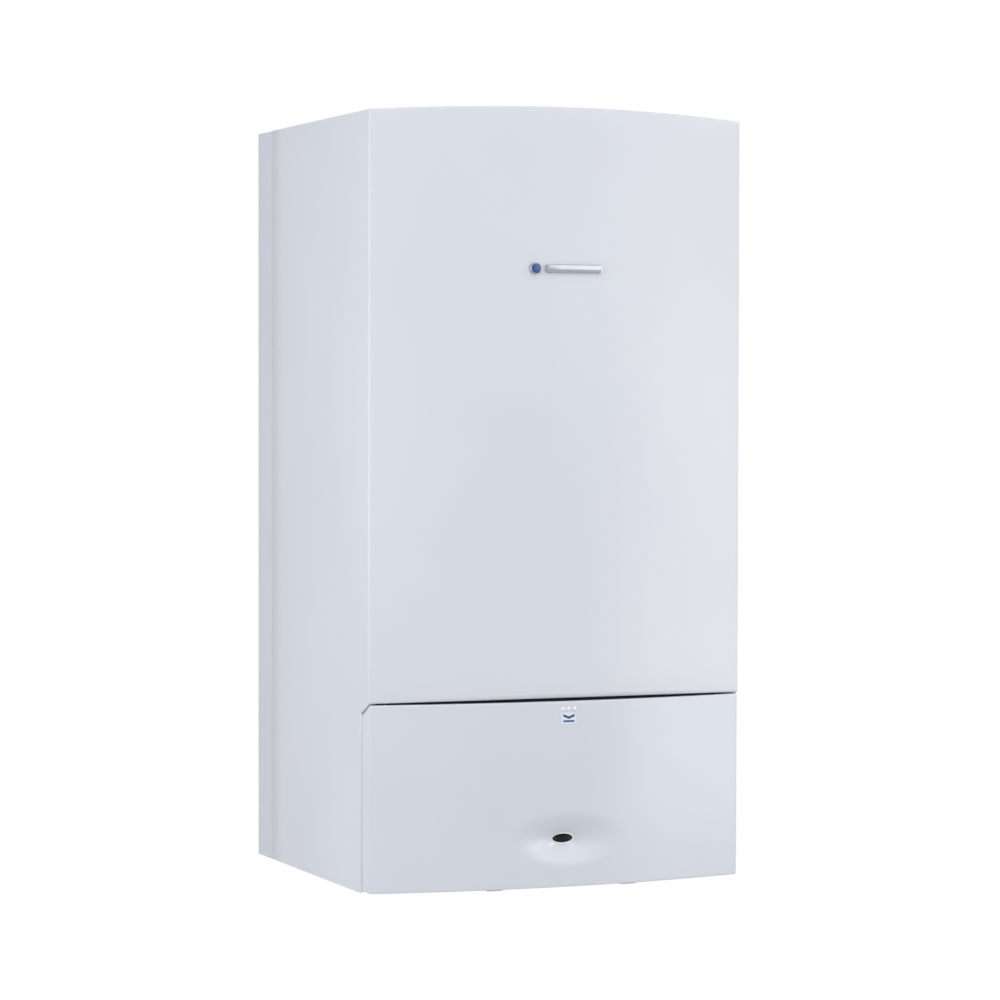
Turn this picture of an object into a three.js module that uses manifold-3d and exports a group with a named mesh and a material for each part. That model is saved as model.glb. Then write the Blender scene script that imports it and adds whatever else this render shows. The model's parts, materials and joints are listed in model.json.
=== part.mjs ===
// Wall-hung gas combi boiler, built as the separate pieces it comes apart into.
// Millimetres, +Z up, +X to the viewer's right, the front towards -Y, the wall at y = 0.
// Heights are measured from the lower edge of the casing, and the whole assembly is then
// lowered so that the origin lies on the wall face of the hanging rail.
import * as THREE from 'three';
import { mergeVertices } from 'three/addons/utils/BufferGeometryUtils.js';
import Module from 'manifold-3d';

// ---------------------------------------------------------------- driving dimensions
const WIDTH = 440;            // casing over its side faces
const HALF = WIDTH / 2;
const SIDE_HEIGHT = 843;      // casing at its side edges
const CROWN = 7;              // rise of the arched top edge at mid width
const SIDE_DEPTH = 376.5;     // wall to the vertical front folds
const FRONT_BULGE = 25;       // how far the curved front stands proud of the folds
const SHEET = 1.5;            // painted steel sheet
const FOLD = 2;               // outside radius of the casing's folds
const GAP = 0.3;              // clearance between pieces that touch
const STRIP_DEPTH = 50;       // depth of the chassis sides that show beside the casing
const TOP_FLANGE = 16;        // width of the casing's top return
const CASING_FLANGE = 12;     // width of the casing's lower side returns
const CASING_FLANGE_Z = 4;    // height of those returns above the lower edge
const LIP_DEPTH = 14;         // return behind the lower edge of the upper front
const LIP_Z = 206.9;          // lower edge of the upper front at the folds
const LIP_RISE = 3;           // rise of that edge at mid width
const NOTCH_Y = 352.5;        // wall to the upright seam beside the flap
const NOTCH_Z = 195;          // foot of the sloping seam beside the flap
const SEAM_FLANGE = 7.5;      // width of the casing's returns along that seam

const FLAP_GAP = 2.4;         // gap under the upper front
const FLAP_BOTTOM = 2;        // lower edge of the flap
const FLAP_INSET = 1;         // flap narrower than the casing on each side
const FLAP_WALL = 2.5;        // moulded wall of the flap
const FLAP_FOLD = 3;          // outside radius of the flap's upright edges
const FLAP_RIM = 10;          // returns round the back of the flap
const HEEL = { depth: 6.2, rise: 1.5 }; // cut at the flap's lower rear corners, for its swing
const SEAM_GAP = 0.8;         // gap between flap and casing sides
const DISH = { x: 1.5, z: 54, a: 63.5, b: 27.5, depth: 13 };
const HOLE_SHARE = 0.2;       // sight hole's share of the dish's outline
const DOT = { radius: 1.5, height: 0.8, pitch: 6.8, x: 3.4, z: 196.6 };
const FLAP_PIN = { y: 385, z: 6, radius: 2 };
const LUG = { x: 79, width: 18, bottom: 0.3, top: 10.5 };

const BADGE = { z: 675, tile: 13, bar: 67, height: 9, thick: 2.2, left: -43.6, right: 41.4 };

const RAIL = { z: SIDE_HEIGHT - 93, width: 360, height: 44, depth: 11.7 };
const BACK_RECESS = 12;       // back plate in front of the wall
const WALL_FLANGE = 20;       // chassis returns on the wall plane

const FRAME = { z: 5.8, height: 12, width: 11, bar: 23 };
const PIPE_ROW = 150;         // wall to the row of pipe connections
const PIPE_PITCH = 65;
const PLATE = { z: 12, thick: 2, depth: 56 };
const STUB_BOTTOM = 6;
const SCREW = { inset: 7, y: NOTCH_Y - 30, length: 11, radius: 2, head: 4 };

const BOX = { half: HALF - 20, front: 347, rear: 262, bottom: 16, top: 166, wall: 2.5 };
const TILT_PIN = { y: 354.5, z: 4.5, radius: 2.5 };
const FACIA = { half: BOX.half - 1.5, thick: 3, bottom: 18, top: 164 };
const DISPLAY = { x: 14, z: 120, width: 62, height: 30 };
const BUTTON = { radius: 4.8, z: 86, pitch: 16, first: -10, count: 4, travel: 1.5 };
const KNOB = { radius: 21, height: 17, shaft: 3, z: 104, heating: -118, water: -58 };
const GAUGE = { x: 112, z: 104, radius: 25, flange: 28, depth: 9 };
const SWITCH = { x: 30 - BOX.half, z: 104, width: 22, half: 13 };
const LAMP = { x: 1, z: 54.7, radius: 4 };
const LATCH = { x: 3.4, z: 191, half: 9, plunger: 3.7, travel: 3, tip: 389.3 };

const CELL = { y: 95, length: 210, z: SIDE_HEIGHT - 283, radius: 100, wall: 8, nozzle: 155 };
const BRACKET = { inset: 45, thick: 3, depth: 105, height: 34 };
const VESSEL = { z: CELL.z, radius: 160, thick: 72, wall: 2 };
const FAN = { x: 135, z: SIDE_HEIGHT - 138, radius: 58, rear: 300, depth: 45, duct: 35 };
const FLUE = { y: 150, radius: 32, bore: 30, collar: 50, flange: 65, rim: 4 };
const VALVE = { x: 130, y: 300, z: CELL.z - 230, width: 70, depth: 60, height: 70 };
const PUMP = { x: 130, y: 120, z: 150, radius: 45, depth: 70, motor: 64 };
const EXCHANGER = { half: 95, rear: 70, depth: 42, bottom: 95, height: 70 };
const TRAP = { x: -175, y: 200, radius: 25, bottom: 24, top: 140 };

const FRONT = SIDE_DEPTH + FRONT_BULGE;
const FRONT_RADIUS = (HALF ** 2 + FRONT_BULGE ** 2) / (2 * FRONT_BULGE);
const FLAP_TOP = LIP_Z - FLAP_GAP;
const FLAP_HALF = HALF - FLAP_INSET;
const FLAP_REAR = NOTCH_Y + SEAM_GAP;
const SEAM_FOOT = FRAME.z + FRAME.height + 4;
const ARM_INNER = HALF - SHEET - CASING_FLANGE - 0.5;
const ROUND = 16;             // facets round a plain rod
const FACETS = 20;            // facets across the curved front

// ---------------------------------------------------------------- shaping helpers
const wasm = await Module();
wasm.setup();

/** Six times the signed volume of an indexed mesh. */
function windingVolume(p, index) {
  let sum = 0;
  for (let i = 0; i < index.length; i += 3) {
    const [a, b, c] = [3 * index[i], 3 * index[i + 1], 3 * index[i + 2]];
    sum += p[a] * (p[b + 1] * p[c + 2] - p[b + 2] * p[c + 1])
      + p[a + 1] * (p[b + 2] * p[c] - p[b] * p[c + 2])
      + p[a + 2] * (p[b] * p[c + 1] - p[b + 1] * p[c]);
  }
  return sum;
}

/** Turns a closed geometry into a solid whose faces point out. */
function solid(geometry) {
  geometry.deleteAttribute('normal');
  geometry.deleteAttribute('uv');
  const merged = mergeVertices(geometry, 1e-4);
  const index = merged.index.array;
  const triangles = [];
  for (let i = 0; i < index.length; i += 3) {
    const [a, b, c] = [index[i], index[i + 1], index[i + 2]];
    if (a !== b && b !== c && c !== a) triangles.push(a, b, c);
  }
  const points = new Float32Array(merged.attributes.position.array);
  if (windingVolume(points, triangles) < 0) triangles.reverse();
  return new wasm.Manifold(new wasm.Mesh({
    numProp: 3,
    vertProperties: points,
    triVerts: new Uint32Array(triangles),
  }));
}

const join = (...shapes) => shapes.reduce((a, b) => a.add(b));
const cut = (...shapes) => shapes.reduce((a, b) => a.subtract(b));
const common = (...shapes) => shapes.reduce((a, b) => a.intersect(b));

/** A box between two corners. */
function block(x0, x1, y0, y1, z0, z1) {
  const geometry = new THREE.BoxGeometry(x1 - x0, y1 - y0, z1 - z0);
  return solid(geometry.translate((x0 + x1) / 2, (y0 + y1) / 2, (z0 + z1) / 2));
}

/** A round rod that starts at a point and runs in the positive direction of an axis. */
function rod(axis, start, length, radius, endRadius = radius, facets = ROUND) {
  const geometry = new THREE.CylinderGeometry(endRadius, radius, length, facets);
  geometry.translate(0, length / 2, 0);
  if (axis === 'x') geometry.rotateZ(-Math.PI / 2);
  if (axis === 'z') geometry.rotateX(Math.PI / 2);
  return solid(geometry.translate(...start));
}

/** A tube: a rod with a bore right through it. */
function sleeve(axis, start, length, radius, bore, facets = ROUND) {
  const along = { x: [1, 0, 0], y: [0, 1, 0], z: [0, 0, 1] }[axis];
  const before = start.map((value, i) => value - along[i]);
  return cut(rod(axis, start, length, radius, radius, facets),
    rod(axis, before, length + 2, bore, bore, facets));
}

/**
 * Extrudes an outline along an axis from start to end. The outline is drawn in (y, z) for
 * x, in (x, z) for y and in (x, y) for z.
 */
function prism(axis, outline, start, end, segments = 4) {
  const options = { depth: end - start, bevelEnabled: false, curveSegments: segments };
  const geometry = new THREE.ExtrudeGeometry(outline, options);
  if (axis === 'y') {
    geometry.rotateX(Math.PI / 2).translate(0, end, 0);
  } else if (axis === 'x') {
    geometry.applyMatrix4(new THREE.Matrix4().makeBasis(
      new THREE.Vector3(0, 1, 0), new THREE.Vector3(0, 0, 1), new THREE.Vector3(1, 0, 0)));
    geometry.translate(start, 0, 0);
  } else {
    geometry.translate(0, 0, start);
  }
  return solid(geometry);
}

const outlineOf = (points) => new THREE.Shape(points.map(([u, v]) => new THREE.Vector2(u, v)));

/** A round pipe along straight runs with a bend at each corner. */
function pipe(points, radius, bend = 28, steps = 16, sides = 10) {
  const corners = points.map((point) => new THREE.Vector3(...point));
  const path = new THREE.CurvePath();
  let from = corners[0];
  for (let i = 1; i < corners.length - 1; i += 1) {
    const corner = corners[i];
    const back = corners[i - 1].clone().sub(corner);
    const ahead = corners[i + 1].clone().sub(corner);
    const reach = Math.min(bend, back.length() * 0.48, ahead.length() * 0.48);
    const before = corner.clone().add(back.setLength(reach));
    const after = corner.clone().add(ahead.setLength(reach));
    path.add(new THREE.LineCurve3(from, before));
    path.add(new THREE.QuadraticBezierCurve3(before, corner, after));
    from = after;
  }
  path.add(new THREE.LineCurve3(from, corners[corners.length - 1]));
  const ring = [];
  for (let i = 0; i < sides; i += 1) {
    const turn = (2 * Math.PI * i) / sides;
    ring.push([radius * Math.cos(turn), radius * Math.sin(turn)]);
  }
  return solid(new THREE.ExtrudeGeometry(outlineOf(ring), { steps, extrudePath: path }));
}

/** A lathe solid about the Y axis, from [radius, y] points that start and end on the axis. */
function turned(points, facets = ROUND) {
  return solid(new THREE.LatheGeometry(points.map(([r, y]) => new THREE.Vector2(r, y)), facets));
}

// ---------------------------------------------------------------- finishes
const finish = (color, roughness, metalness = 0) =>
  new THREE.MeshStandardMaterial({ color, roughness, metalness });
const FINISH = {
  paint: finish(0xe6e9eb, 0.42),
  flap: finish(0xe2e6ea, 0.38),
  chassis: finish(0xd4d8db, 0.5),
  chrome: finish(0xd9dcdf, 0.12, 1),
  enamel: finish(0x2f62c8, 0.25),
  zinc: finish(0xb7babd, 0.4, 0.9),
  dark: finish(0x2a2d31, 0.5),
  facia: finish(0xc9cdd1, 0.45),
  knob: finish(0xeef0f2, 0.4),
  glass: finish(0x1b2226, 0.1),
  green: finish(0x1f6b45, 0.5),
  lamp: finish(0x6bd08a, 0.2),
  needle: finish(0xc8352c, 0.4),
  aluminium: finish(0xb9bdc1, 0.45, 0.8),
  copper: finish(0xb87348, 0.35, 1),
  brass: finish(0xc2a05a, 0.35, 1),
  steel: finish(0xa9adb1, 0.3, 1),
  red: finish(0xb4322b, 0.45),
  hose: finish(0x9aa0a5, 0.6),
  ceramic: finish(0xf0eee8, 0.3),
};

const boiler = new THREE.Group();
boiler.position.z = -RAIL.z;

/** Adds a named piece to a group. */
function addPiece(parent, name, shape, material) {
  const mesh = shape.getMesh();
  const geometry = new THREE.BufferGeometry();
  geometry.setAttribute('position', new THREE.BufferAttribute(mesh.vertProperties, 3));
  geometry.setIndex(new THREE.BufferAttribute(mesh.triVerts, 1));
  geometry.computeVertexNormals();
  const piece = new THREE.Mesh(geometry, material);
  piece.name = name;
  parent.add(piece);
  return piece;
}

/** A sub-assembly whose own origin is at the given place. */
function assemblyAt(x, y, z) {
  const group = new THREE.Group();
  group.position.set(x, y, z);
  boiler.add(group);
  return group;
}

// ---------------------------------------------------------------- curved front
/** Distance from the wall to the curved front at a given x. */
function frontAt(x) {
  const offset = Math.min(Math.abs(x), HALF);
  return SIDE_DEPTH + Math.sqrt(FRONT_RADIUS ** 2 - offset ** 2) - (FRONT_RADIUS - FRONT_BULGE);
}

/** Plan outline from the rear edge round the curved front, `inset` inside the outer faces. */
function planOutline(half, inset, rear, fold) {
  const side = half - inset;
  const start = side - fold;
  const front = (x) => inset - frontAt(x);
  const shape = new THREE.Shape();
  shape.moveTo(-side, -rear);
  shape.lineTo(-side, front(side) + fold);
  shape.quadraticCurveTo(-side, front(side), -start, front(start));
  for (let i = 1; i < FACETS; i += 1) {
    const x = start * ((2 * i) / FACETS - 1);
    shape.lineTo(x, front(x));
  }
  shape.lineTo(start, front(start));
  shape.quadraticCurveTo(side, front(side), side, front(side) + fold);
  shape.lineTo(side, -rear);
  return shape;
}

/** Front outline between two edges that each rise in a shallow arch to mid width. */
function archOutline(half, bottom, bottomRise, top, topRise) {
  const shape = new THREE.Shape();
  shape.moveTo(-half, bottom);
  shape.quadraticCurveTo(0, bottom + 2 * bottomRise, half, bottom);
  shape.lineTo(half, top);
  shape.quadraticCurveTo(0, top + 2 * topRise, -half, top);
  return shape;
}

/** Everything between two arched edges, over the full depth of the boiler. */
const archSlab = (bottom, bottomRise, top, topRise, half = HALF) =>
  prism('y', archOutline(half, bottom, bottomRise, top, topRise), -FRONT - 5, 5, 12);

/** Moves a solid's points back so that what lies on a flat front follows the curved one. */
function followFront(shape, x, z) {
  return shape.warp((point) => {
    point[1] += FRONT - frontAt(point[0] + x) - FRONT;
    point[0] += x;
    point[2] += z;
  });
}

// ---------------------------------------------------------------- outer shells
function buildOuterCasing() {
  const overTop = SIDE_HEIGHT + CROWN + 1;
  const plan = (inset, z0, z1) =>
    prism('z', planOutline(HALF, inset, STRIP_DEPTH + GAP - (inset ? 1 : 0), FOLD), z0, z1);
  const body = common(plan(0, 0, overTop), archSlab(-1, 0, SIDE_HEIGHT, CROWN));
  const room = common(plan(SHEET, -1, overTop), archSlab(-2, 0, SIDE_HEIGHT - SHEET, CROWN));
  const mouth = plan(TOP_FLANGE, SIDE_HEIGHT - 2 * SHEET, overTop);
  const lip = cut(
    common(plan(SHEET / 2, 0, LIP_Z + 2 * LIP_RISE + SHEET),
      archSlab(LIP_Z, LIP_RISE, LIP_Z + SHEET, LIP_RISE)),
    plan(LIP_DEPTH, 0, overTop),
    block(-HALF, HALF, -SIDE_DEPTH + LIP_DEPTH, 0, 0, overTop));
  const flange = (side) => block(
    Math.min(side * (HALF - SHEET / 2), side * (HALF - CASING_FLANGE)),
    Math.max(side * (HALF - SHEET / 2), side * (HALF - CASING_FLANGE)),
    -NOTCH_Y + 15, -STRIP_DEPTH - GAP, CASING_FLANGE_Z, CASING_FLANGE_Z + SHEET);
  const seam = (side) => {
    const [from, to] = side < 0 ? [-HALF + SHEET / 2, SEAM_FLANGE - HALF]
      : [HALF - SEAM_FLANGE, HALF - SHEET / 2];
    return prism('x', outlineOf([
      [-NOTCH_Y, SEAM_FOOT], [-NOTCH_Y, NOTCH_Z], [-SIDE_DEPTH + LIP_DEPTH / 2,
        NOTCH_Z + (LIP_Z - NOTCH_Z) * (1 - LIP_DEPTH / 2 / (SIDE_DEPTH - NOTCH_Y))],
      [-SIDE_DEPTH + LIP_DEPTH / 2, LIP_Z], [-NOTCH_Y + SHEET, NOTCH_Z + 2],
      [-NOTCH_Y + SHEET, SEAM_FOOT]]), from, to);
  };
  const notch = prism('x', outlineOf([
    [-NOTCH_Y, -1], [-NOTCH_Y, NOTCH_Z], [-SIDE_DEPTH, LIP_Z], [-FRONT - 1, LIP_Z],
    [-FRONT - 1, -1]]), -HALF - 1, HALF + 1);
  const underLip = common(archSlab(LIP_Z - 5, 0, LIP_Z, LIP_RISE, HALF - SHEET),
    block(-HALF, HALF, -FRONT - 1, -NOTCH_Y, 0, overTop));
  const screwHole = (side) => rod('z', [side * (HALF - SCREW.inset), -SCREW.y, 0], 10,
    SCREW.radius + 0.4);
  addPiece(boiler, 'outer_casing', cut(
    join(cut(body, room, mouth), lip, flange(-1), flange(1), seam(-1), seam(1)),
    notch, underLip, screwHole(-1), screwHole(1)), FINISH.paint);
}

function buildFlap() {
  const flap = assemblyAt(0, 0, 0);
  const plan = (inset, rear, z0, z1) =>
    prism('z', planOutline(FLAP_HALF, inset, rear, FLAP_FOLD), z0, z1);
  const shell = cut(
    plan(0, FLAP_REAR, FLAP_BOTTOM, FLAP_TOP),
    plan(FLAP_WALL, FLAP_REAR - 2, FLAP_BOTTOM + FLAP_WALL, FLAP_TOP - FLAP_WALL),
    plan(FLAP_RIM, FLAP_REAR - 2, FLAP_BOTTOM - 1, FLAP_TOP + 1));
  const slope = prism('x', outlineOf([
    [-FLAP_REAR + 3, NOTCH_Z - FLAP_GAP - 1.5], [-FLAP_REAR, NOTCH_Z - FLAP_GAP],
    [-SIDE_DEPTH, FLAP_TOP], [-SIDE_DEPTH, FLAP_TOP + 5], [-FLAP_REAR + 3, FLAP_TOP + 5]]),
  -HALF, HALF);

  const heel = prism('x', outlineOf([
    [-FLAP_REAR + 3, FLAP_BOTTOM - 1], [-FLAP_REAR + 3, FLAP_BOTTOM + HEEL.rise],
    [-FLAP_REAR, FLAP_BOTTOM + HEEL.rise], [-FLAP_REAR - HEEL.depth, FLAP_BOTTOM],
    [-FLAP_REAR - HEEL.depth, FLAP_BOTTOM - 1]]), -HALF, HALF);
  const funnel = (r) => DISH.depth * ((1 - r) / (1 - HOLE_SHARE)) ** 1.6;
  const rings = [0.85, 0.7, 0.55, 0.4, 0.3];
  const hollow = turned([[0, -3], [1, -3], [1, 0], ...rings.map((r) => [r, funnel(r)]),
    [HOLE_SHARE, DISH.depth], [HOLE_SHARE, DISH.depth + 9], [0, DISH.depth + 9]], 24);
  const backing = turned([[0, 1], [1.04, 1], [1.04, FLAP_WALL],
    ...rings.map((r) => [r + 0.06, funnel(r) + FLAP_WALL]),
    [HOLE_SHARE + 0.06, DISH.depth + FLAP_WALL], [0, DISH.depth + FLAP_WALL]], 20);
  const placed = (shape) => followFront(shape.scale([DISH.a, 1, DISH.b]), DISH.x, DISH.z);

  const dots = [-1, 0, 1].map((i) => {
    const x = DOT.x + i * DOT.pitch;
    return rod('y', [x, -frontAt(x) - DOT.height, DOT.z], DOT.height + 1, DOT.radius * 0.6,
      DOT.radius, 10);
  });
  const striker = rod('y', [LATCH.x, -FRONT + 1, LATCH.z], FRONT - 1 - LATCH.tip - GAP, 5, 5, 12);
  const cheeks = [];
  const slots = [block(FLAP_WALL - FLAP_HALF, FLAP_HALF - FLAP_WALL, -TILT_PIN.y - 12, -NOTCH_Y,
    FLAP_BOTTOM - 1, FLAP_BOTTOM + FLAP_WALL + 1)];
  [-1, 1].forEach((side) => {
    const inner = LUG.width / 2 + 1;
    const x = side * LUG.x;
    slots.push(block(x - inner, x + inner, -frontAt(LUG.x) + FLAP_WALL + 0.5, -NOTCH_Y,
      FLAP_BOTTOM - 1, FLAP_BOTTOM + FLAP_WALL + 1));
    [-1, 1].forEach((edge) => {
      const at = x + edge * (inner + 1.5);
      cheeks.push(block(at - 1.5, at + 1.5, -frontAt(LUG.x) + 1, -FLAP_PIN.y + 4,
        FLAP_BOTTOM + 0.5, FLAP_PIN.z + 4.5));
    });
    cheeks.push(rod('x', [x - inner - 1, -FLAP_PIN.y, FLAP_PIN.z], 2 * inner + 2,
      FLAP_PIN.radius, FLAP_PIN.radius, 12));
  });
  addPiece(flap, 'flap', join(
    cut(join(cut(shell, slope, heel, ...slots), placed(backing)), placed(hollow)),
    striker, ...dots, ...cheeks), FINISH.flap);
}

function buildBadge() {
  const flat = (shape) => followFront(shape, 0, 0);
  const outside = GAP + BADGE.thick;
  const radius = BADGE.tile / 2;
  const tile = rod('y', [BADGE.left + radius, -outside, BADGE.z], BADGE.thick, radius);
  const halfBar = BADGE.height / 2;
  const bar = [0, 1, 2, 3].map((i) => BADGE.right - BADGE.bar + (BADGE.bar * i) / 4);
  const strips = bar.map((x) => block(x, x + BADGE.bar / 4, -outside, -GAP,
    BADGE.z - halfBar, BADGE.z + halfBar));
  addPiece(boiler, 'badge_tile', flat(tile), FINISH.enamel);
  addPiece(boiler, 'badge_bar', flat(join(...strips)), FINISH.chrome);
}

// ---------------------------------------------------------------- chassis
function buildChassis() {
  const inner = HALF - SHEET;
  const top = SIDE_HEIGHT - 1;
  const sides = [-1, 1].flatMap((side) => {
    const [near, far] = side < 0 ? [-HALF, -inner] : [inner, HALF];
    const [from, to] = side < 0 ? [-inner - 0.5, -HALF + WALL_FLANGE]
      : [HALF - WALL_FLANGE, inner + 0.5];
    return [block(near, far, -STRIP_DEPTH, 0, 0, top), block(from, to, -SHEET, 0, 0, top)];
  });
  const plate = block(-inner - 0.5, inner + 0.5, -BACK_RECESS - SHEET, -BACK_RECESS, 0,
    SIDE_HEIGHT - 4 * SHEET);
  const hookAt = RAIL.width / 3;
  const hooks = [-1, 1].map((side) => block(side * hookAt - 20, side * hookAt + 20,
    -BACK_RECESS - SHEET - 1, -BACK_RECESS + 1, RAIL.z + RAIL.height / 2 + 2,
    RAIL.z + RAIL.height / 2 + 8));
  addPiece(boiler, 'chassis_tray', cut(join(...sides, plate), ...hooks), FINISH.chassis);

  const railHalf = RAIL.width / 2;
  const rail = block(-railHalf, railHalf, -RAIL.depth, 0, RAIL.z - RAIL.height / 2,
    RAIL.z + RAIL.height / 2);
  const hollow = block(-railHalf - 1, railHalf + 1, -RAIL.depth - 1, -2,
    RAIL.z - RAIL.height / 2 + 2, RAIL.z + RAIL.height / 2 - 2);
  const ribs = [-1, 0, 1].map((i) => block(i * railHalf * 0.66 - 1, i * railHalf * 0.66 + 1,
    -RAIL.depth, -1, RAIL.z - RAIL.height / 2, RAIL.z + RAIL.height / 2));
  const holes = [-2, -1, 1, 2].map((i) =>
    rod('y', [(i * RAIL.width) / 4.8, -RAIL.depth - 1, RAIL.z], RAIL.depth + 2, 4.5));
  addPiece(boiler, 'wall_rail', cut(join(cut(rail, hollow), ...ribs), ...holes), FINISH.zinc);
}

function buildTopPanel() {
  const half = HALF - SHEET - GAP;
  const top = SIDE_HEIGHT - SHEET - GAP;
  const panel = common(
    prism('z', planOutline(HALF, SHEET + GAP, BACK_RECESS + SHEET + GAP, FOLD), top - SHEET, top),
    block(-half, half, -FRONT, 0, 0, top + 1));
  const hole = rod('z', [0, -FLUE.y, top - 5], 10, FLUE.collar + GAP, FLUE.collar + GAP, 24);
  addPiece(boiler, 'top_panel', cut(panel, hole), FINISH.chassis);

  const seat = top + GAP;
  const ring = sleeve('z', [0, -FLUE.y, seat], 2.5, FLUE.flange, FLUE.collar - 2, 24);
  const collar = sleeve('z', [0, -FLUE.y, seat - 26], 26 + FLUE.rim + 1, FLUE.collar,
    FLUE.collar - 2, 24);
  const inner = sleeve('z', [0, -FLUE.y, seat - 42], 42 + FLUE.rim + 1, FLUE.radius + 2,
    FLUE.bore, 16);
  const spokes = [0, 1, 2, 3].map((i) => {
    const [c, s] = [Math.cos(i * Math.PI / 2), Math.sin(i * Math.PI / 2)];
    const [x, y] = [c * (FLUE.radius + FLUE.collar) / 2, s * (FLUE.radius + FLUE.collar) / 2];
    const long = (FLUE.collar - FLUE.radius) / 2;
    const [w, d] = [Math.abs(c) * long + Math.abs(s) * 2, Math.abs(s) * long + Math.abs(c) * 2];
    return block(x - w, x + w, y - FLUE.y - d, y - FLUE.y + d, seat - 24, seat - 14);
  });
  addPiece(boiler, 'flue_socket', join(ring, collar, inner, ...spokes), FINISH.dark);
  addPiece(boiler, 'flue_duct', sleeve('z', [0, -FLUE.y, CELL.z + CELL.radius + 12 + GAP],
    seat - 42 - GAP - (CELL.z + CELL.radius + 12 + GAP), FLUE.radius, FLUE.bore, 16),
  FINISH.aluminium);
}

function buildLowerFrame() {
  const top = FRAME.z + FRAME.height;
  const rear = BACK_RECESS + SHEET + GAP;
  const inner = ARM_INNER;
  const arms = [-1, 1].flatMap((side) => {
    const [near, far] = side < 0 ? [-inner - FRAME.width, -inner] : [inner, inner + FRAME.width];
    const [from, to] = side < 0 ? [-inner - 6, -inner] : [inner, inner + 6];
    return [block(near, far, -NOTCH_Y + 10, -rear, FRAME.z, top),
      block(from, to, -TILT_PIN.y, -NOTCH_Y + 14.5, TILT_PIN.z - 3.5, top),
      rod('x', [from, -TILT_PIN.y, TILT_PIN.z + 1], 6, 5)];
  });
  const barFront = 4 - BOX.front;
  const frontBar = block(-inner - 1, inner + 1, barFront, barFront + FRAME.bar, FRAME.z + 0.2,
    top - 4.8);
  const plate = block(-inner - 1, inner + 1, -PIPE_ROW - PLATE.depth / 2,
    -PIPE_ROW + PLATE.depth / 2, PLATE.z, PLATE.z + PLATE.thick);
  const pivots = rod('x', [-HALF, -TILT_PIN.y, TILT_PIN.z], WIDTH, TILT_PIN.radius + GAP);
  const holes = [-2, -1, 0, 1, 2].map((i) =>
    rod('z', [i * PIPE_PITCH, -PIPE_ROW, PLATE.z - 5], 12, stubRadius(i) + 2 * GAP,
      stubRadius(i) + 2 * GAP, 12));
  const screwHoles = [-1, 1].map((side) =>
    rod('z', [side * (HALF - SCREW.inset), -SCREW.y, 0], 40, SCREW.radius + 0.4));
  addPiece(boiler, 'lower_frame',
    cut(join(...arms, frontBar, plate), pivots, ...holes, ...screwHoles), FINISH.zinc);

  [-1, 1].forEach((side) => {
    const screw = assemblyAt(side * (HALF - SCREW.inset), -SCREW.y, CASING_FLANGE_Z - GAP);
    addPiece(screw, side < 0 ? 'casing_screw_left' : 'casing_screw_right', join(
      rod('z', [0, 0, -2.2], 2.2, SCREW.head, SCREW.head, 16),
      rod('z', [0, 0, -1], SCREW.length, SCREW.radius, SCREW.radius, 12)), FINISH.zinc);
  });
}

// ---------------------------------------------------------------- control box
function buildControlBox() {
  const { half, front, rear, bottom, top, wall } = BOX;
  const shell = cut(block(-half, half, -front, -rear, bottom, top),
    block(-half + wall, half - wall, -front - 1, -rear - wall, bottom + wall, top - wall));
  const posts = [-1, 1].flatMap((sx) => [-1, 1].map((sz) =>
    rod('y', [sx * (half - 65), -front + 17, (bottom + top) / 2 + sz * 50], front - 17 - rear - 1, 4,
      4, 12)));
  const earSide = (side) => {
    const [from, to] = side < 0 ? [-half - 4.5, -half + 1] : [half - 1, half + 4.5];
    const ear = prism('x', outlineOf([
      [-front + 47, bottom + 24], [-front + 47, bottom + 0.5], [-front - 2.5, bottom + 0.5],
      [-front - 3.5, TILT_PIN.z - 3.5], [-TILT_PIN.y - 4, TILT_PIN.z - 3.5],
      [-TILT_PIN.y - 4, bottom + 4], [-front + 7, bottom + 24]]), from, to);
    const pinFrom = side < 0 ? -half - 11 : half;
    return join(cut(ear, block(from, to, -FRONT, -front - 0.6, bottom + 1.5, bottom + 30)),
      rod('x', [pinFrom, -TILT_PIN.y, TILT_PIN.z], 11, TILT_PIN.radius, TILT_PIN.radius, 16));
  };
  const lugAt = (x) => cut(
    prism('x', outlineOf([
      [-FLAP_PIN.y - 6.5, LUG.bottom], [-FLAP_PIN.y - 6.5, LUG.top - 2],
      [-FLAP_PIN.y - 4, LUG.top], [-front - 5, LUG.top], [-front - 5, bottom + 1],
      [-front + 7, bottom + 1], [-front + 7, bottom - 2], [-front + 1, bottom - 4],
      [-front + 1, LUG.bottom]]), x - LUG.width / 2, x + LUG.width / 2),
    rod('x', [x - LUG.width, -FLAP_PIN.y, FLAP_PIN.z], 2 * LUG.width, FLAP_PIN.radius + GAP,
      FLAP_PIN.radius + GAP, 12));
  addPiece(boiler, 'control_box', join(shell, ...posts, earSide(-1), earSide(1),
    lugAt(-LUG.x), lugAt(LUG.x)), FINISH.facia);
  addPiece(boiler, 'circuit_board', block(50 - half, half - 50, -front + 15, -front + 16.7, bottom + 14,
    top - 14), FINISH.green);
}

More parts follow.
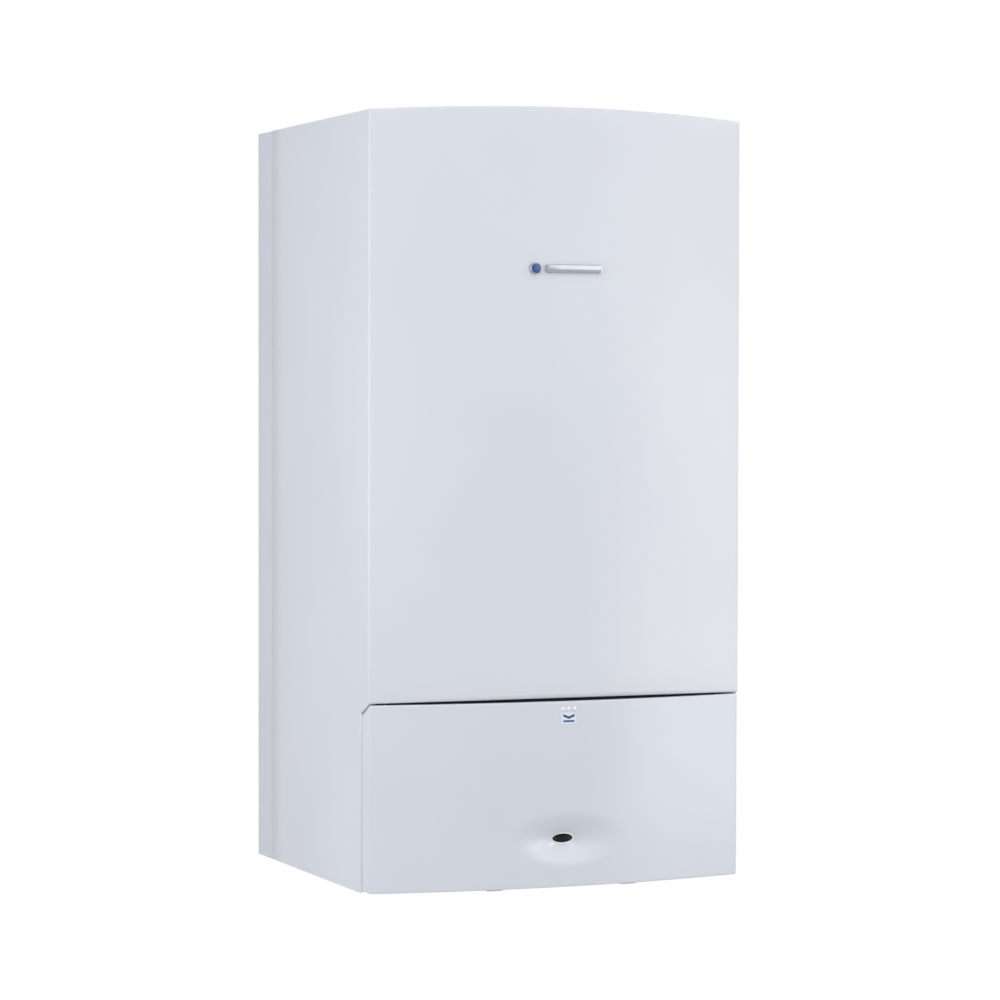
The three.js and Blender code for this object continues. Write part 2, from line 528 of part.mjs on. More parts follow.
function buildFacia() {
  const back = BOX.front + GAP;
  const face = back + FACIA.thick;
  const hole = (x, z, radius, facets = ROUND) =>
    rod('y', [x, -face - 1, z], FACIA.thick + 2, radius, radius, facets);
  const opening = (x, z, width, height) => block(x - width / 2, x + width / 2, -face - 1,
    -back + 1, z - height / 2, z + height / 2);
  const buttons = [];
  for (let i = 0; i < BUTTON.count; i += 1) {
    buttons.push(hole(BUTTON.first + i * BUTTON.pitch, BUTTON.z, BUTTON.radius + GAP, 16));
  }
  const cheeks = [-1, 1].map((side) => {
    const x = SWITCH.x + side * (SWITCH.width / 2 + 2);
    return block(x - 1.5, x + 1.5, -back - 1, -back + 6, SWITCH.z - 5, SWITCH.z + 5);
  });
  const plate = block(-FACIA.half, FACIA.half, -face, -back, FACIA.bottom, FACIA.top);
  addPiece(boiler, 'control_facia', cut(join(plate, ...cheeks),
    opening(DISPLAY.x, DISPLAY.z, DISPLAY.width, DISPLAY.height),
    opening(SWITCH.x, SWITCH.z, SWITCH.width + 1, 2 * SWITCH.half + 6),
    rod('x', [SWITCH.x - SWITCH.width / 2 - 9, -BOX.front + 1.5, SWITCH.z], SWITCH.width + 18,
      1.8, 1.8, 10),
    hole(KNOB.heating, KNOB.z, KNOB.shaft + GAP, 16),
    hole(KNOB.water, KNOB.z, KNOB.shaft + GAP, 16),
    hole(GAUGE.x, GAUGE.z, GAUGE.radius + GAP, 28),
    hole(LAMP.x, LAMP.z, LAMP.radius + GAP, 16),
    ...buttons), FINISH.facia);
  const { width, height } = DISPLAY;
  addPiece(boiler, 'display_window', block(DISPLAY.x - width / 2 + GAP,
    DISPLAY.x + width / 2 - GAP, -face - 0.8, -back, DISPLAY.z - height / 2 + GAP,
    DISPLAY.z + height / 2 - GAP), FINISH.glass);
  addPiece(boiler, 'lamp_lens', join(
    rod('y', [LAMP.x, -face - 2, LAMP.z], FACIA.thick + 5, LAMP.radius, LAMP.radius, 16),
    rod('y', [LAMP.x, -face - GAP - 3, LAMP.z], 3, LAMP.radius * 0.8, LAMP.radius * 1.6, 16)),
  FINISH.lamp);

  for (let i = 0; i < BUTTON.count; i += 1) {
    const button = assemblyAt(BUTTON.first + i * BUTTON.pitch, -face, BUTTON.z);
    addPiece(button, `button_${i + 1}`, join(
      rod('y', [0, -2.6, 0], 0.8, BUTTON.radius - 0.9, BUTTON.radius, 16),
      rod('y', [0, -1.8, 0], FACIA.thick + 3, BUTTON.radius, BUTTON.radius, 16),
      rod('y', [0, FACIA.thick + GAP, 0], 1.6, BUTTON.radius + 1.6, BUTTON.radius + 1.6, 16)),
    FINISH.knob);
  }
  buildKnob('knob_heating', KNOB.heating, face);
  buildKnob('knob_water', KNOB.water, face);
  buildPowerSwitch();
  buildGauge(face);
}

function buildKnob(name, x, face) {
  const knob = assemblyAt(x, -face - GAP, KNOB.z);
  const grip = join(
    rod('y', [0, -KNOB.height, 0], KNOB.height - 3, KNOB.radius - 4, KNOB.radius - 2, 28),
    rod('y', [0, -3, 0], 3, KNOB.radius, KNOB.radius, 28));
  const pointer = block(-1, 1, -KNOB.height - 1, -KNOB.height + 1, KNOB.radius * 0.3,
    KNOB.radius);
  const shaft = rod('y', [0, -1, 0], FACIA.thick + 10, KNOB.shaft, KNOB.shaft, 16);
  addPiece(knob, name, join(cut(grip, pointer), shaft), FINISH.knob);
}

function buildPowerSwitch() {
  const { width, half } = SWITCH;
  const rocker = assemblyAt(SWITCH.x, -BOX.front + 1.5, SWITCH.z);
  const outline = outlineOf([[-9.5, half], [-6.5, 0], [-5.5, -half], [3, -half + 3],
    [3, half - 3]]);
  const pins = rod('x', [-width / 2 - 2.5, 0, 0], width + 5, 1.5, 1.5, 10);
  addPiece(rocker, 'power_switch', join(prism('x', outline, -width / 2, width / 2), pins),
    FINISH.dark);
}

function buildGauge(face) {
  const gauge = assemblyAt(GAUGE.x, -face, GAUGE.z);
  const { radius, flange, depth } = GAUGE;
  const body = join(rod('y', [0, -1, 0], depth + 9, radius, radius, 28),
    rod('y', [0, -3, 0], 3 - GAP, flange, flange, 28));
  const well = rod('y', [0, -4, 0], depth, radius - 2, radius - 2, 28);
  addPiece(gauge, 'gauge_case', cut(body, well, rod('y', [0, 0, 0], 9, 1.3, 1.3, 10)),
    FINISH.dark);
  addPiece(gauge, 'gauge_needle', join(
    rod('y', [0, 2.4, 0], 1.6, 3, 3, 12), rod('y', [0, 2.4, 0], 5, 1, 1, 8),
    block(-0.8, 0.8, 2.6, 3.6, -5, radius - 6)), FINISH.needle);
}

function buildLatch() {
  const { x, z, half, plunger, travel, tip } = LATCH;
  const body = cut(
    join(block(x - half, x + half, -BOX.front - 25, -BOX.front + 7, z - half, z + half),
      block(x - half + 2, x + half - 2, -BOX.front + 1, -BOX.front + 7, BOX.top + GAP, z)),
    rod('y', [x, -BOX.front - 26, z], 28, plunger + GAP, plunger + GAP, 16));
  addPiece(boiler, 'latch_body', body, FINISH.dark);
  addPiece(boiler, 'latch_plunger', rod('y', [x, -tip, z], tip - BOX.front - travel - 0.5,
    plunger, plunger, 16), FINISH.knob);
}

// ---------------------------------------------------------------- burner and air
function buildHeatCell() {
  const cell = assemblyAt(0, -CELL.y, CELL.z);
  const { length, radius, wall } = CELL;
  const drum = rod('y', [0, -length, 0], length, radius, radius, 32);
  const room = rod('y', [0, -length - 1, 0], length + 1 - wall, radius - wall, radius - wall, 28);
  const outlet = [0, CELL.y - FLUE.y, radius - 14];
  const nozzle = (side, z) => rod('x', [side < 0 ? -radius - 18 : radius - 6, -CELL.nozzle, z],
    24, 11, 11, 16);
  const drain = rod('z', [0, -CELL.nozzle, -radius - 12], 20, 9, 9, 16);
  addPiece(cell, 'heat_cell', cut(
    join(drum, rod('z', outlet, 26, FLUE.radius + 1, FLUE.radius + 1, 16), nozzle(-1, -20),
      nozzle(1, 20), drain),
    room, rod('z', [0, outlet[1], 50], radius, FLUE.bore, FLUE.bore, 16)), FINISH.aluminium);
  const front = -length - GAP;
  const hood = join(rod('y', [0, front - 18, 0], 18, radius - 4, radius - 4, 32),
    block(-25, 25, front - 40, front - 1, 40, FAN.z - CELL.z + FAN.radius));
  addPiece(cell, 'burner_hood', cut(hood,
    rod('y', [45, front - 20, 50], 22, 4.3, 4.3, 12)), FINISH.aluminium);
  addPiece(cell, 'burner_tube', cut(rod('y', [0, -length, 0], 140, 30, 30, 24),
    rod('y', [0, -length - 1, 0], 136, 28, 28, 24)), FINISH.steel);
  addPiece(cell, 'electrode', join(rod('y', [45, front - 30, 50], 60, 4, 4, 12),
    rod('y', [45, front - 21, 50], 2.7, 8, 8, 12)), FINISH.ceramic);

  [-1, 1].forEach((side) => {
    const outer = HALF - BRACKET.inset;
    const rear = -BACK_RECESS - SHEET - GAP;
    const front = -CELL.y - BRACKET.depth;
    const plan = outlineOf([[outer - BRACKET.thick, rear], [outer, rear], [outer, front],
      [radius + GAP, front], [radius + GAP, front + BRACKET.thick],
      [outer - BRACKET.thick, front + BRACKET.thick]].map(([x, y]) => [side * x, y]));
    addPiece(boiler, side < 0 ? 'cell_bracket_left' : 'cell_bracket_right',
      prism('z', plan, CELL.z - 20, CELL.z - 20 + BRACKET.height), FINISH.zinc);
  });
}

function buildFan() {
  const fan = assemblyAt(FAN.x, -FAN.rear, FAN.z);
  const { radius, depth, duct } = FAN;
  const volute = join(rod('y', [0, -depth, 0], depth, radius, radius, 28),
    block(-FAN.x + 25 + GAP, 0, -depth, 0, radius - duct, radius));
  const chamber = rod('y', [0, -depth + 4, 0], depth - 8, radius - 6, radius - 6, 28);
  addPiece(fan, 'fan_housing', cut(volute, chamber,
    rod('y', [0, -depth - 1, 0], 10, 20, 20, 20), rod('y', [0, -6, 0], 10, 5.3, 5.3, 12)),
  FINISH.aluminium);
  addPiece(fan, 'fan_impeller', join(rod('y', [0, -9, 0], 3, radius - 10, radius - 10, 24),
    ...[0, 1, 2, 3, 4, 5].map((i) => block(20, radius - 11, -28, -8, -1.2, 1.2)
      .rotate([0, 60 * i, 0])),
    rod('y', [0, -12, 0], 36, 5, 5, 12)), FINISH.dark);
  addPiece(fan, 'fan_motor', cut(rod('y', [0, GAP, 0], 44, 36, 32, 24),
    rod('y', [0, 0, 0], 26, 5.3, 5.3, 12)), FINISH.dark);
  addPiece(fan, 'venturi', cut(join(rod('y', [0, -depth - GAP - 34, 0], 34, 30, 23, 24),
    rod('z', [0, -62, -34], 20, 9, 9, 16)), rod('y', [0, -depth - 40, 0], 50, 16, 16, 20)),
  FINISH.dark);
}

function buildGasTrain() {
  const { x, y, z, width, depth, height } = VALVE;
  const crossing = BOX.top + 74;
  const body = join(
    block(x - width / 2, x + width / 2, -y - depth / 2, -y + depth / 2, z, z + height),
    rod('y', [x, -y - depth / 2 - 18, z + height / 2], 20, 20, 24, 20));
  addPiece(boiler, 'gas_valve', body, FINISH.aluminium);
  addPiece(boiler, 'gas_pipe_upper', pipe([[x, -y, z + height + GAP], [x, -y, FAN.z - 150],
    [FAN.x, -FAN.rear - 62, FAN.z - 100], [FAN.x, -FAN.rear - 62, FAN.z - 34 - GAP]], 8),
  FINISH.copper);
  addPiece(boiler, 'gas_stub', cut(
    pipe([[0, -PIPE_ROW, STUB_BOTTOM], [0, -PIPE_ROW, crossing], [0, -y, crossing],
      [x, -y, crossing], [x, -y, z - GAP]], stubRadius(0), 28, 24),
    rod('z', [0, -PIPE_ROW, STUB_BOTTOM - 1], 22, stubRadius(0) - 1.5, stubRadius(0) - 1.5,
      12)), FINISH.copper);
}

// ---------------------------------------------------------------- water side
/** Outside radius of the pipe connection at each place in the row of five. */
function stubRadius(place) {
  return Math.abs(place) === 1 ? 7.5 : 11;
}

function buildStub(name, place, points) {
  const x = place * PIPE_PITCH;
  const radius = stubRadius(place);
  const run = [[x, -PIPE_ROW, STUB_BOTTOM], ...points];
  const collar = rod('z', [x, -PIPE_ROW, PLATE.z + PLATE.thick + GAP], 10, radius + 4,
    radius + 4, 6);
  addPiece(boiler, name, cut(join(pipe(run, radius, 22, run.length > 2 ? 12 : 2), collar),
    rod('z', [x, -PIPE_ROW, STUB_BOTTOM - 1], 23, radius - 1.5, radius - 1.5, 12)),
  FINISH.copper);
}

function buildWaterSide() {
  const { half, rear, depth, bottom, height } = EXCHANGER;
  const middle = -rear - depth / 2;
  const under = bottom - GAP;
  addPiece(boiler, 'plate_exchanger', block(-half, half, -rear - depth, -rear, bottom,
    bottom + height), FINISH.steel);
  buildStub('flow_stub', -2, [[-2 * PIPE_PITCH, -PIPE_ROW, under]]);
  buildStub('hot_stub', -1, [[-PIPE_PITCH, -PIPE_ROW, bottom - 40],
    [-PIPE_PITCH, middle, bottom - 24], [-PIPE_PITCH, middle, under]]);
  buildStub('cold_stub', 1, [[PIPE_PITCH, -PIPE_ROW, bottom - 40],
    [PIPE_PITCH, middle, bottom - 24], [PIPE_PITCH, middle, under]]);
  buildStub('return_stub', 2, [[2 * PIPE_PITCH, -PIPE_ROW, PUMP.z - PUMP.radius - 20 - GAP]]);

  const left = -2 * PIPE_PITCH;
  const spindleY = -PIPE_ROW - 38;
  const spindleZ = bottom + 42;
  addPiece(boiler, 'diverter_body', cut(
    join(block(left - 22, -half - GAP, -PIPE_ROW - 25, middle + 15, bottom, bottom + 80),
      rod('z', [left, -PIPE_ROW, bottom + 78], 12, 15, 15, 6)),
    rod('y', [left, -PIPE_ROW - 30, spindleZ], 54, 3.3, 3.3, 12)), FINISH.brass);
  addPiece(boiler, 'diverter_actuator', cut(
    block(left - 18, left + 18, -PIPE_ROW - 75, -PIPE_ROW - 25 - GAP, bottom + 14, bottom + 70),
    rod('y', [left, spindleY - 6, spindleZ], 30, 3.3, 3.3, 12)), FINISH.dark);
  addPiece(boiler, 'diverter_spindle', rod('y', [left, spindleY, spindleZ], 46, 3, 3, 12),
    FINISH.steel);

  const cellLeft = -CELL.radius - 18 - GAP;
  const nozzleY = -CELL.y - CELL.nozzle;
  const flowBend = CELL.z - 260;
  const returnBend = CELL.z - 160;
  addPiece(boiler, 'flow_pipe', pipe([[cellLeft, nozzleY, CELL.z - 20],
    [left - 30, nozzleY, CELL.z - 20], [left - 30, nozzleY, flowBend],
    [left, -PIPE_ROW, flowBend - 30],
    [left, -PIPE_ROW, bottom + 90 + GAP]], 9, 24, 20), FINISH.copper);
  addPiece(boiler, 'return_pipe', pipe([[PUMP.x, -PIPE_ROW, PUMP.z + PUMP.radius + 12 + GAP],
    [PUMP.x, -PIPE_ROW, returnBend], [PUMP.x + 20, nozzleY, returnBend + 40],
    [PUMP.x + 20, nozzleY, CELL.z + 20], [-cellLeft, nozzleY, CELL.z + 20]], 9, 24, 20),
  FINISH.copper);
  buildVessel();
  buildCondensate();
}

function buildVessel() {
  const vessel = assemblyAt(0, -BACK_RECESS - SHEET - GAP - VESSEL.thick, VESSEL.z);
  const shell = (inset) => turned([[0, inset], [VESSEL.radius * 0.8 - inset, inset],
    [VESSEL.radius - inset, VESSEL.thick * 0.3], [VESSEL.radius - inset, VESSEL.thick * 0.7],
    [VESSEL.radius * 0.8 - inset, VESSEL.thick - inset], [0, VESSEL.thick - inset]], 32);
  addPiece(vessel, 'expansion_vessel', cut(shell(0), shell(VESSEL.wall),
    rod('z', [0, VESSEL.thick / 2, -VESSEL.radius - 5], 20, 5, 5, 12)), FINISH.red);
}

function buildPump() {
  const pump = assemblyAt(PUMP.x, -PUMP.y, PUMP.z);
  const { radius, depth, motor } = PUMP;
  const inlet = PUMP.y - PIPE_ROW;
  addPiece(pump, 'pump_housing', cut(
    join(rod('y', [0, -depth, 0], depth, radius, radius, 28),
      rod('z', [0, inlet, -radius - 20], 30, 16, 16, 16),
      rod('z', [0, inlet, radius - 8], 20, 14, 14, 16),
      rod('z', [30, inlet, 20], 23, 9, 9, 12)),
    rod('y', [0, -depth - 1, 0], 34, radius - 7, radius - 7, 28)), FINISH.brass);
  addPiece(pump, 'pump_impeller', join(rod('y', [0, -depth + 4, 0], 18, radius - 10,
    radius - 10, 24), rod('y', [0, -depth - 22, 0], 30, 5, 5, 12)), FINISH.dark);
  addPiece(pump, 'pump_motor', cut(rod('y', [0, -depth - GAP - motor, 0], motor, radius - 7,
    radius - 4, 24), rod('y', [0, -depth - 24, 0], 26, 5.3, 5.3, 12)), FINISH.dark);
  addPiece(pump, 'air_vent', rod('z', [30, inlet, 43 + GAP], 40, 11, 8, 16), FINISH.brass);
  const side = -radius - GAP;
  addPiece(pump, 'relief_valve', cut(
    join(block(side - 24, side, inlet - 12, inlet + 12, -12, 12),
      rod('z', [side - 12, inlet, -34], 24, 7, 7, 12)),
    rod('x', [side - 25, inlet, 0], 15, 3.3, 3.3, 12)), FINISH.brass);
  addPiece(pump, 'relief_knob', join(
    rod('x', [side - 24 - GAP - 20, inlet, 0], 20, 11, 13, 12),
    rod('x', [side - 26, inlet, 0], 12, 3, 3, 12)), FINISH.red);
}

function buildCondensate() {
  const { x, y, radius, bottom, top } = TRAP;
  const armTop = FRAME.z + FRAME.height;
  addPiece(boiler, 'condensate_trap', cut(
    join(rod('z', [x, -y, bottom], top - bottom, radius, radius, 24),
      rod('z', [x, -y, STUB_BOTTOM], bottom - STUB_BOTTOM + 2, 11, 11, 16),
      block(-ARM_INNER - 8, x, -y - 8, -y + 8, armTop + GAP, armTop + GAP + 10)),
    rod('z', [x, -y, STUB_BOTTOM - 1], 21, 9, 9, 16)), FINISH.hose);
  const drainY = -CELL.y - CELL.nozzle;
  const hoseBend = CELL.z - 170;
  addPiece(boiler, 'condensate_hose', pipe([
    [0, drainY, CELL.z - CELL.radius - 12 - GAP], [0, drainY, hoseBend],
    [x / 2, drainY + 25, hoseBend - 80], [x, -y, top + 90], [x, -y, top + GAP]], 7, 40, 22, 10),
  FINISH.hose);
}

buildOuterCasing();
buildFlap();
buildBadge();
buildChassis();
buildTopPanel();
buildLowerFrame();
buildControlBox();
buildFacia();
buildLatch();
buildHeatCell();
buildFan();
buildGasTrain();
buildWaterSide();
buildPump();

export default boiler;
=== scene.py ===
"""Finished look of a wall-hung combi boiler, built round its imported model.

Lengths in the classes are millimetres, as on a drawing, and heights are measured from the
lower edge of the casing. placed() turns them into metres in the shared frame, whose origin is
on the wall at the middle of the hanging rail.
"""

import json
import logging
import math
from dataclasses import dataclass, field
from enum import Enum

import bmesh
import bpy
from mathutils import Matrix, Vector
from mathutils.bvhtree import BVHTree


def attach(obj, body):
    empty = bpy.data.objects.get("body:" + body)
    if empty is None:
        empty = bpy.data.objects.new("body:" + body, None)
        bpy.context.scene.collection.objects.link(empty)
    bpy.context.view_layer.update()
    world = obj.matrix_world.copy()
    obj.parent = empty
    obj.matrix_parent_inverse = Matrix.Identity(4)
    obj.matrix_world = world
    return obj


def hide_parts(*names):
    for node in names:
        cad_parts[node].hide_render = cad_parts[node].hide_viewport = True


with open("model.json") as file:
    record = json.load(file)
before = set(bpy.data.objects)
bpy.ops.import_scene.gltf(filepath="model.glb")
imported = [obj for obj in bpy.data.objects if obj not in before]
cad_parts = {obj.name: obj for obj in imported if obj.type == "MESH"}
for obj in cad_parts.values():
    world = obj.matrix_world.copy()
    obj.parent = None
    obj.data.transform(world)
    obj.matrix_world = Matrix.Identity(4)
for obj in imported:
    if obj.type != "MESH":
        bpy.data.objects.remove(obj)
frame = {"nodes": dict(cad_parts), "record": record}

logging.basicConfig(level=logging.INFO, format="%(name)s: %(message)s")
log = logging.getLogger("boiler")

MM = 0.001
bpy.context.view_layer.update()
RAIL_HEIGHT = 750.0  # middle of the hanging rail above the casing's lower edge
BODY = "boiler_body"
CONTROL = "control_unit"
FLAP = "flap_body"

CUT_EDGE = 0.35  # radius of a cut edge of sheet or moulding, in millimetres

Point = tuple[float, float, float]
Outline = list[tuple[float, float]]


class Axis(Enum):
    """An axis of the shared frame."""

    X = "across, to the right"
    Y = "in depth, towards the wall"
    Z = "upwards"


def placed(x: float, y: float, z: float) -> Vector:
    """A point in millimetres above the casing's lower edge, as metres in the shared frame."""
    return Vector((x * MM, y * MM, (z - RAIL_HEIGHT) * MM))


def to_linear(code: str) -> tuple[float, float, float, float]:
    """Turns an sRGB hex colour into linear RGBA.

    Args:
        code: Six hex digits, such as "d9dde2".

    Returns:
        Red, green, blue and alpha in linear light.
    """
    channels = [int(code[i : i + 2], 16) / 255 for i in (0, 2, 4)]
    linear = [c / 12.92 if c <= 0.04045 else ((c + 0.055) / 1.055) ** 2.4 for c in channels]
    return (*linear, 1.0)


# ----------------------------------------------------------------------------- finishes


def add_node(
    tree: bpy.types.NodeTree,
    kind: str,
    settings: dict | None = None,
    values: dict | None = None,
    links: dict | None = None,
) -> bpy.types.Node:
    """Adds a node with its settings, socket values and incoming links.

    Args:
        tree: Node tree that takes the node.
        kind: Node type, such as "ShaderNodeTexNoise".
        settings: Attribute name to value.
        values: Input socket name or number to value.
        links: Input socket name or number to the output socket that feeds it.

    Returns:
        The new node.
    """
    node = tree.nodes.new(kind)
    for name, value in (settings or {}).items():
        setattr(node, name, value)
    for socket, value in (values or {}).items():
        node.inputs[socket].default_value = value
    for socket, source in (links or {}).items():
        tree.links.new(source, node.inputs[socket])
    return node


class Surface(Enum):
    """How a surface was made, which sets its pattern."""

    SPRAYED = "sprayed and stoved"
    MOULDED = "moulded"
    CAST = "cast"
    BRUSHED = "rolled or drawn"
    SPANGLED = "hot-dip zinc"
    POLISHED = "polished"


@dataclass(frozen=True)
class Finish:
    """One finish: what it is made of, its colours and its surface pattern.

    Attributes:
        name: Common name of the finish.
        colour: Main sRGB colour.
        shade: Second sRGB colour, into which the main one varies.
        surface: How it was made.
        grain: Size of the fine pattern, in millimetres.
        relief: Height of the fine pattern, in millimetres.
        drift: Size of the slow colour variation, in millimetres.
        roughness: Lowest and highest roughness.
        metallic: 1 for bare metal, 0 for anything else.
        ior: Index of refraction.
        coat: Weight of a clear gloss over the colour.
        coat_haze: Roughness of that gloss.
        along: Axis that a brushed pattern runs along.
    """

    name: str
    colour: str
    shade: str
    surface: Surface
    grain: float
    relief: float
    drift: float
    roughness: tuple[float, float]
    metallic: float = 0.0
    ior: float = 1.5
    coat: float = 0.0
    coat_haze: float = 0.08
    along: Axis = Axis.X

    def material(self) -> bpy.types.Material:
        """The node material of this finish, made once.

        Returns:
            The material, which pieces of the same finish share.
        """
        known = bpy.data.materials.get(self.name)
        if known:
            return known
        made = bpy.data.materials.new(self.name)
        made.use_nodes = True
        made.diffuse_color = to_linear(self.colour)
        self.dress(made.node_tree)
        return made

    def dress(self, tree: bpy.types.NodeTree) -> None:
        """Fills a node tree with the finish.

        Args:
            tree: Node tree of a new material.
        """
        shader = tree.nodes["Principled BSDF"]
        shader.inputs["Metallic"].default_value = self.metallic
        shader.inputs["IOR"].default_value = self.ior
        shader.inputs["Coat Weight"].default_value = self.coat
        shader.inputs["Coat Roughness"].default_value = self.coat_haze
        place = add_node(tree, "ShaderNodeTexCoord").outputs["Object"]
        slow = self.noise(tree, place, self.drift, 2.0)
        fine = self.fine_pattern(tree, place)
        blend = add_node(tree, "ShaderNodeValToRGB", links={"Fac": slow})
        blend.color_ramp.elements[0].position = 0.3
        blend.color_ramp.elements[0].color = to_linear(self.colour)
        blend.color_ramp.elements[1].position = 0.75
        blend.color_ramp.elements[1].color = to_linear(self.shade)
        tree.links.new(blend.outputs["Color"], shader.inputs["Base Color"])
        low, high = self.roughness
        rough = add_node(
            tree,
            "ShaderNodeMapRange",
            values={"From Min": 0.3, "From Max": 0.7, "To Min": low, "To Max": high},
            links={"Value": fine if self.surface in (Surface.SPANGLED, Surface.BRUSHED) else slow},
        )
        tree.links.new(rough.outputs["Result"], shader.inputs["Roughness"])
        bump = add_node(
            tree,
            "ShaderNodeBump",
            values={"Strength": 1.0, "Distance": self.relief * MM},
            links={"Height": fine},
        )
        tree.links.new(bump.outputs["Normal"], shader.inputs["Normal"])

    def fine_pattern(
        self, tree: bpy.types.NodeTree, place: bpy.types.NodeSocket
    ) -> bpy.types.NodeSocket:
        """The fine pattern as a grey output socket.

        Args:
            tree: Node tree that takes the nodes.
            place: Coordinates in metres.

        Returns:
            Output socket from 0 to 1.
        """
        if self.surface is Surface.SPANGLED:
            cells = add_node(
                tree,
                "ShaderNodeTexVoronoi",
                values={"Scale": 1 / (self.grain * MM)},
                links={"Vector": place},
            )
            return add_node(
                tree, "ShaderNodeSeparateColor", links={"Color": cells.outputs["Color"]}
            ).outputs["Red"]
        if self.surface is Surface.BRUSHED:
            stretch = [0.02 if axis is self.along else 1.0 for axis in Axis]
            drawn = add_node(
                tree, "ShaderNodeMapping", values={"Scale": stretch}, links={"Vector": place}
            )
            return self.noise(tree, drawn.outputs["Vector"], self.grain, 3.0)
        return self.noise(tree, place, self.grain, 4.0 if self.surface is Surface.CAST else 1.0)

    @staticmethod
    def noise(
        tree: bpy.types.NodeTree, place: bpy.types.NodeSocket, size: float, detail: float
    ) -> bpy.types.NodeSocket:
        """A noise pattern whose features are about `size` millimetres across.

        Args:
            tree: Node tree that takes the node.
            place: Coordinates in metres.
            size: Feature size in millimetres.
            detail: Octaves of finer noise.

        Returns:
            Output socket from 0 to 1.
        """
        return add_node(
            tree,
            "ShaderNodeTexNoise",
            values={"Scale": 1 / (size * MM), "Detail": detail, "Roughness": 0.5},
            links={"Vector": place},
        ).outputs["Fac"]


# Polyester powder stoved on sheet steel: smooth satin white with a hazy gloss, whose faint
# orange peel softens the reflection of the lamps.
CASING_ENAMEL = Finish(
    "white_stove_enamel", "e3e6ec", "dfe2e9", Surface.SPRAYED, 2.2, 0.012, 260, (0.42, 0.48),
    coat=0.6, coat_haze=0.24,
)
# The same powder on the chassis, coloured a little greyer and bluer than the casing: painted shade
# for the dimmer, bluer light on the rear strip of the side.
CHASSIS_ENAMEL_PAINTED_SHADE = Finish(
    "chassis_enamel_painted_shade", "dce1e9", "d8dde6", Surface.SPRAYED, 2.2, 0.014, 220, (0.45, 0.52),
    coat=0.6, coat_haze=0.26,
)
# Injection-moulded ABS: spark-eroded tool face, slightly deeper white than the enamel.
FLAP_ABS = Finish(
    "white_moulded_abs", "dfe3ea", "dbdfe7", Surface.MOULDED, 0.9, 0.006, 180, (0.38, 0.44),
    coat=0.7, coat_haze=0.17,
)
# The same ABS on raised marks and beads, with a polished tool face; its colour is whiter than the
# flap's, a painted highlight for the light caught on their rounded edges.
WHITE_ABS_PAINTED_HIGHLIGHT = Finish(
    "white_abs_painted_highlight", "f9fafc", "f5f6f9", Surface.POLISHED, 1.4, 0.002, 30, (0.14, 0.2),
    coat=1.0, coat_haze=0.04,
)
# Bright nickel-chrome plate: mirror with a trace of haze, coloured darker than real chrome: painted
# shade that stands in for the dark surroundings it reflects.
CHROME_PLATE = Finish(
    "chrome_plate", "a9adb2", "9a9ea4", Surface.POLISHED, 6.0, 0.002, 30, (0.1, 0.16), metallic=1
)
# Fired glass enamel on a metal tile: deep blue under gloss.
BLUE_ENAMEL = Finish(
    "blue_vitreous_enamel", "21458f", "1d3d82", Surface.POLISHED, 3.0, 0.004, 8, (0.12, 0.2),
    coat=0.6,
)
# Hot-dip galvanised strip: matt grey with spangle a few millimetres across.
GALVANISED = Finish(
    "galvanised_steel", "a9adb1", "b8bcbf", Surface.SPANGLED, 7.0, 0.01, 60, (0.32, 0.55),
    metallic=1,
)
# Closed-cell neoprene strip, soft matt black: painted shade, a dark strip behind the flap's gap
# that stands in for the shadow inside it.
GAP_SHADE_BLACK = Finish(
    "gap_painted_shade_black", "2c2f34", "33363b", Surface.CAST, 0.6, 0.05, 20, (0.85, 0.95)
)
# Black glass-filled nylon: fine moulded grain, low sheen.
BLACK_NYLON = Finish(
    "black_moulded_nylon", "26282b", "2c2e32", Surface.MOULDED, 0.8, 0.03, 60, (0.5, 0.62)
)
# Sand-cast aluminium: pale grey with a rough skin.
CAST_ALUMINIUM = Finish(
    "sand_cast_aluminium", "b4b7ba", "a5a8ab", Surface.CAST, 1.6, 0.09, 45, (0.42, 0.6),
    metallic=1,
)
# Fibreglass board under green solder mask.
SOLDER_MASK = Finish(
    "green_solder_mask", "1d6a43", "185c3a", Surface.MOULDED, 1.2, 0.01, 25, (0.25, 0.4),
    coat=0.3,
)
# Pale grey moulded ABS of the control facia, with a fine spark-eroded grain.
GREY_ABS = Finish(
    "grey_moulded_abs", "c3c8cd", "bdc2c8", Surface.MOULDED, 0.8, 0.02, 120, (0.42, 0.52)
)
# White moulded ABS of the knobs and buttons: a finer tool face than the flap's.
KNOB_ABS = Finish(
    "white_knob_abs", "eceef0", "e7e9ec", Surface.MOULDED, 0.7, 0.008, 40, (0.3, 0.38)
)
# Acetal coloured red, of the gauge's needle and the relief knob: smooth and slightly waxy.
RED_ACETAL = Finish(
    "red_acetal", "c23a30", "b5342b", Surface.MOULDED, 0.7, 0.02, 30, (0.35, 0.45)
)
# Rolled stainless sheet: fine lengthways grain.
STAINLESS = Finish(
    "rolled_stainless", "b9bbbd", "aeb0b3", Surface.BRUSHED, 0.5, 0.01, 50, (0.22, 0.38),
    metallic=1,
)
# Half-hard drawn copper tube: warm, slightly tarnished, with fine drawing lines.
COPPER = Finish(
    "drawn_copper", "c07a52", "9f6242", Surface.BRUSHED, 0.6, 0.008, 35, (0.22, 0.42),
    metallic=1, along=Axis.Z,
)
# Hot-stamped brass: yellow with a dull, lightly pitted skin.
BRASS = Finish(
    "stamped_brass", "c3a25c", "b08f4c", Surface.CAST, 1.2, 0.04, 30, (0.3, 0.46), metallic=1
)
# Red stove enamel on the pressed steel vessel.
RED_ENAMEL = Finish(
    "red_stove_enamel", "a8322b", "9a2c26", Surface.SPRAYED, 2.5, 0.02, 90, (0.35, 0.45)
)
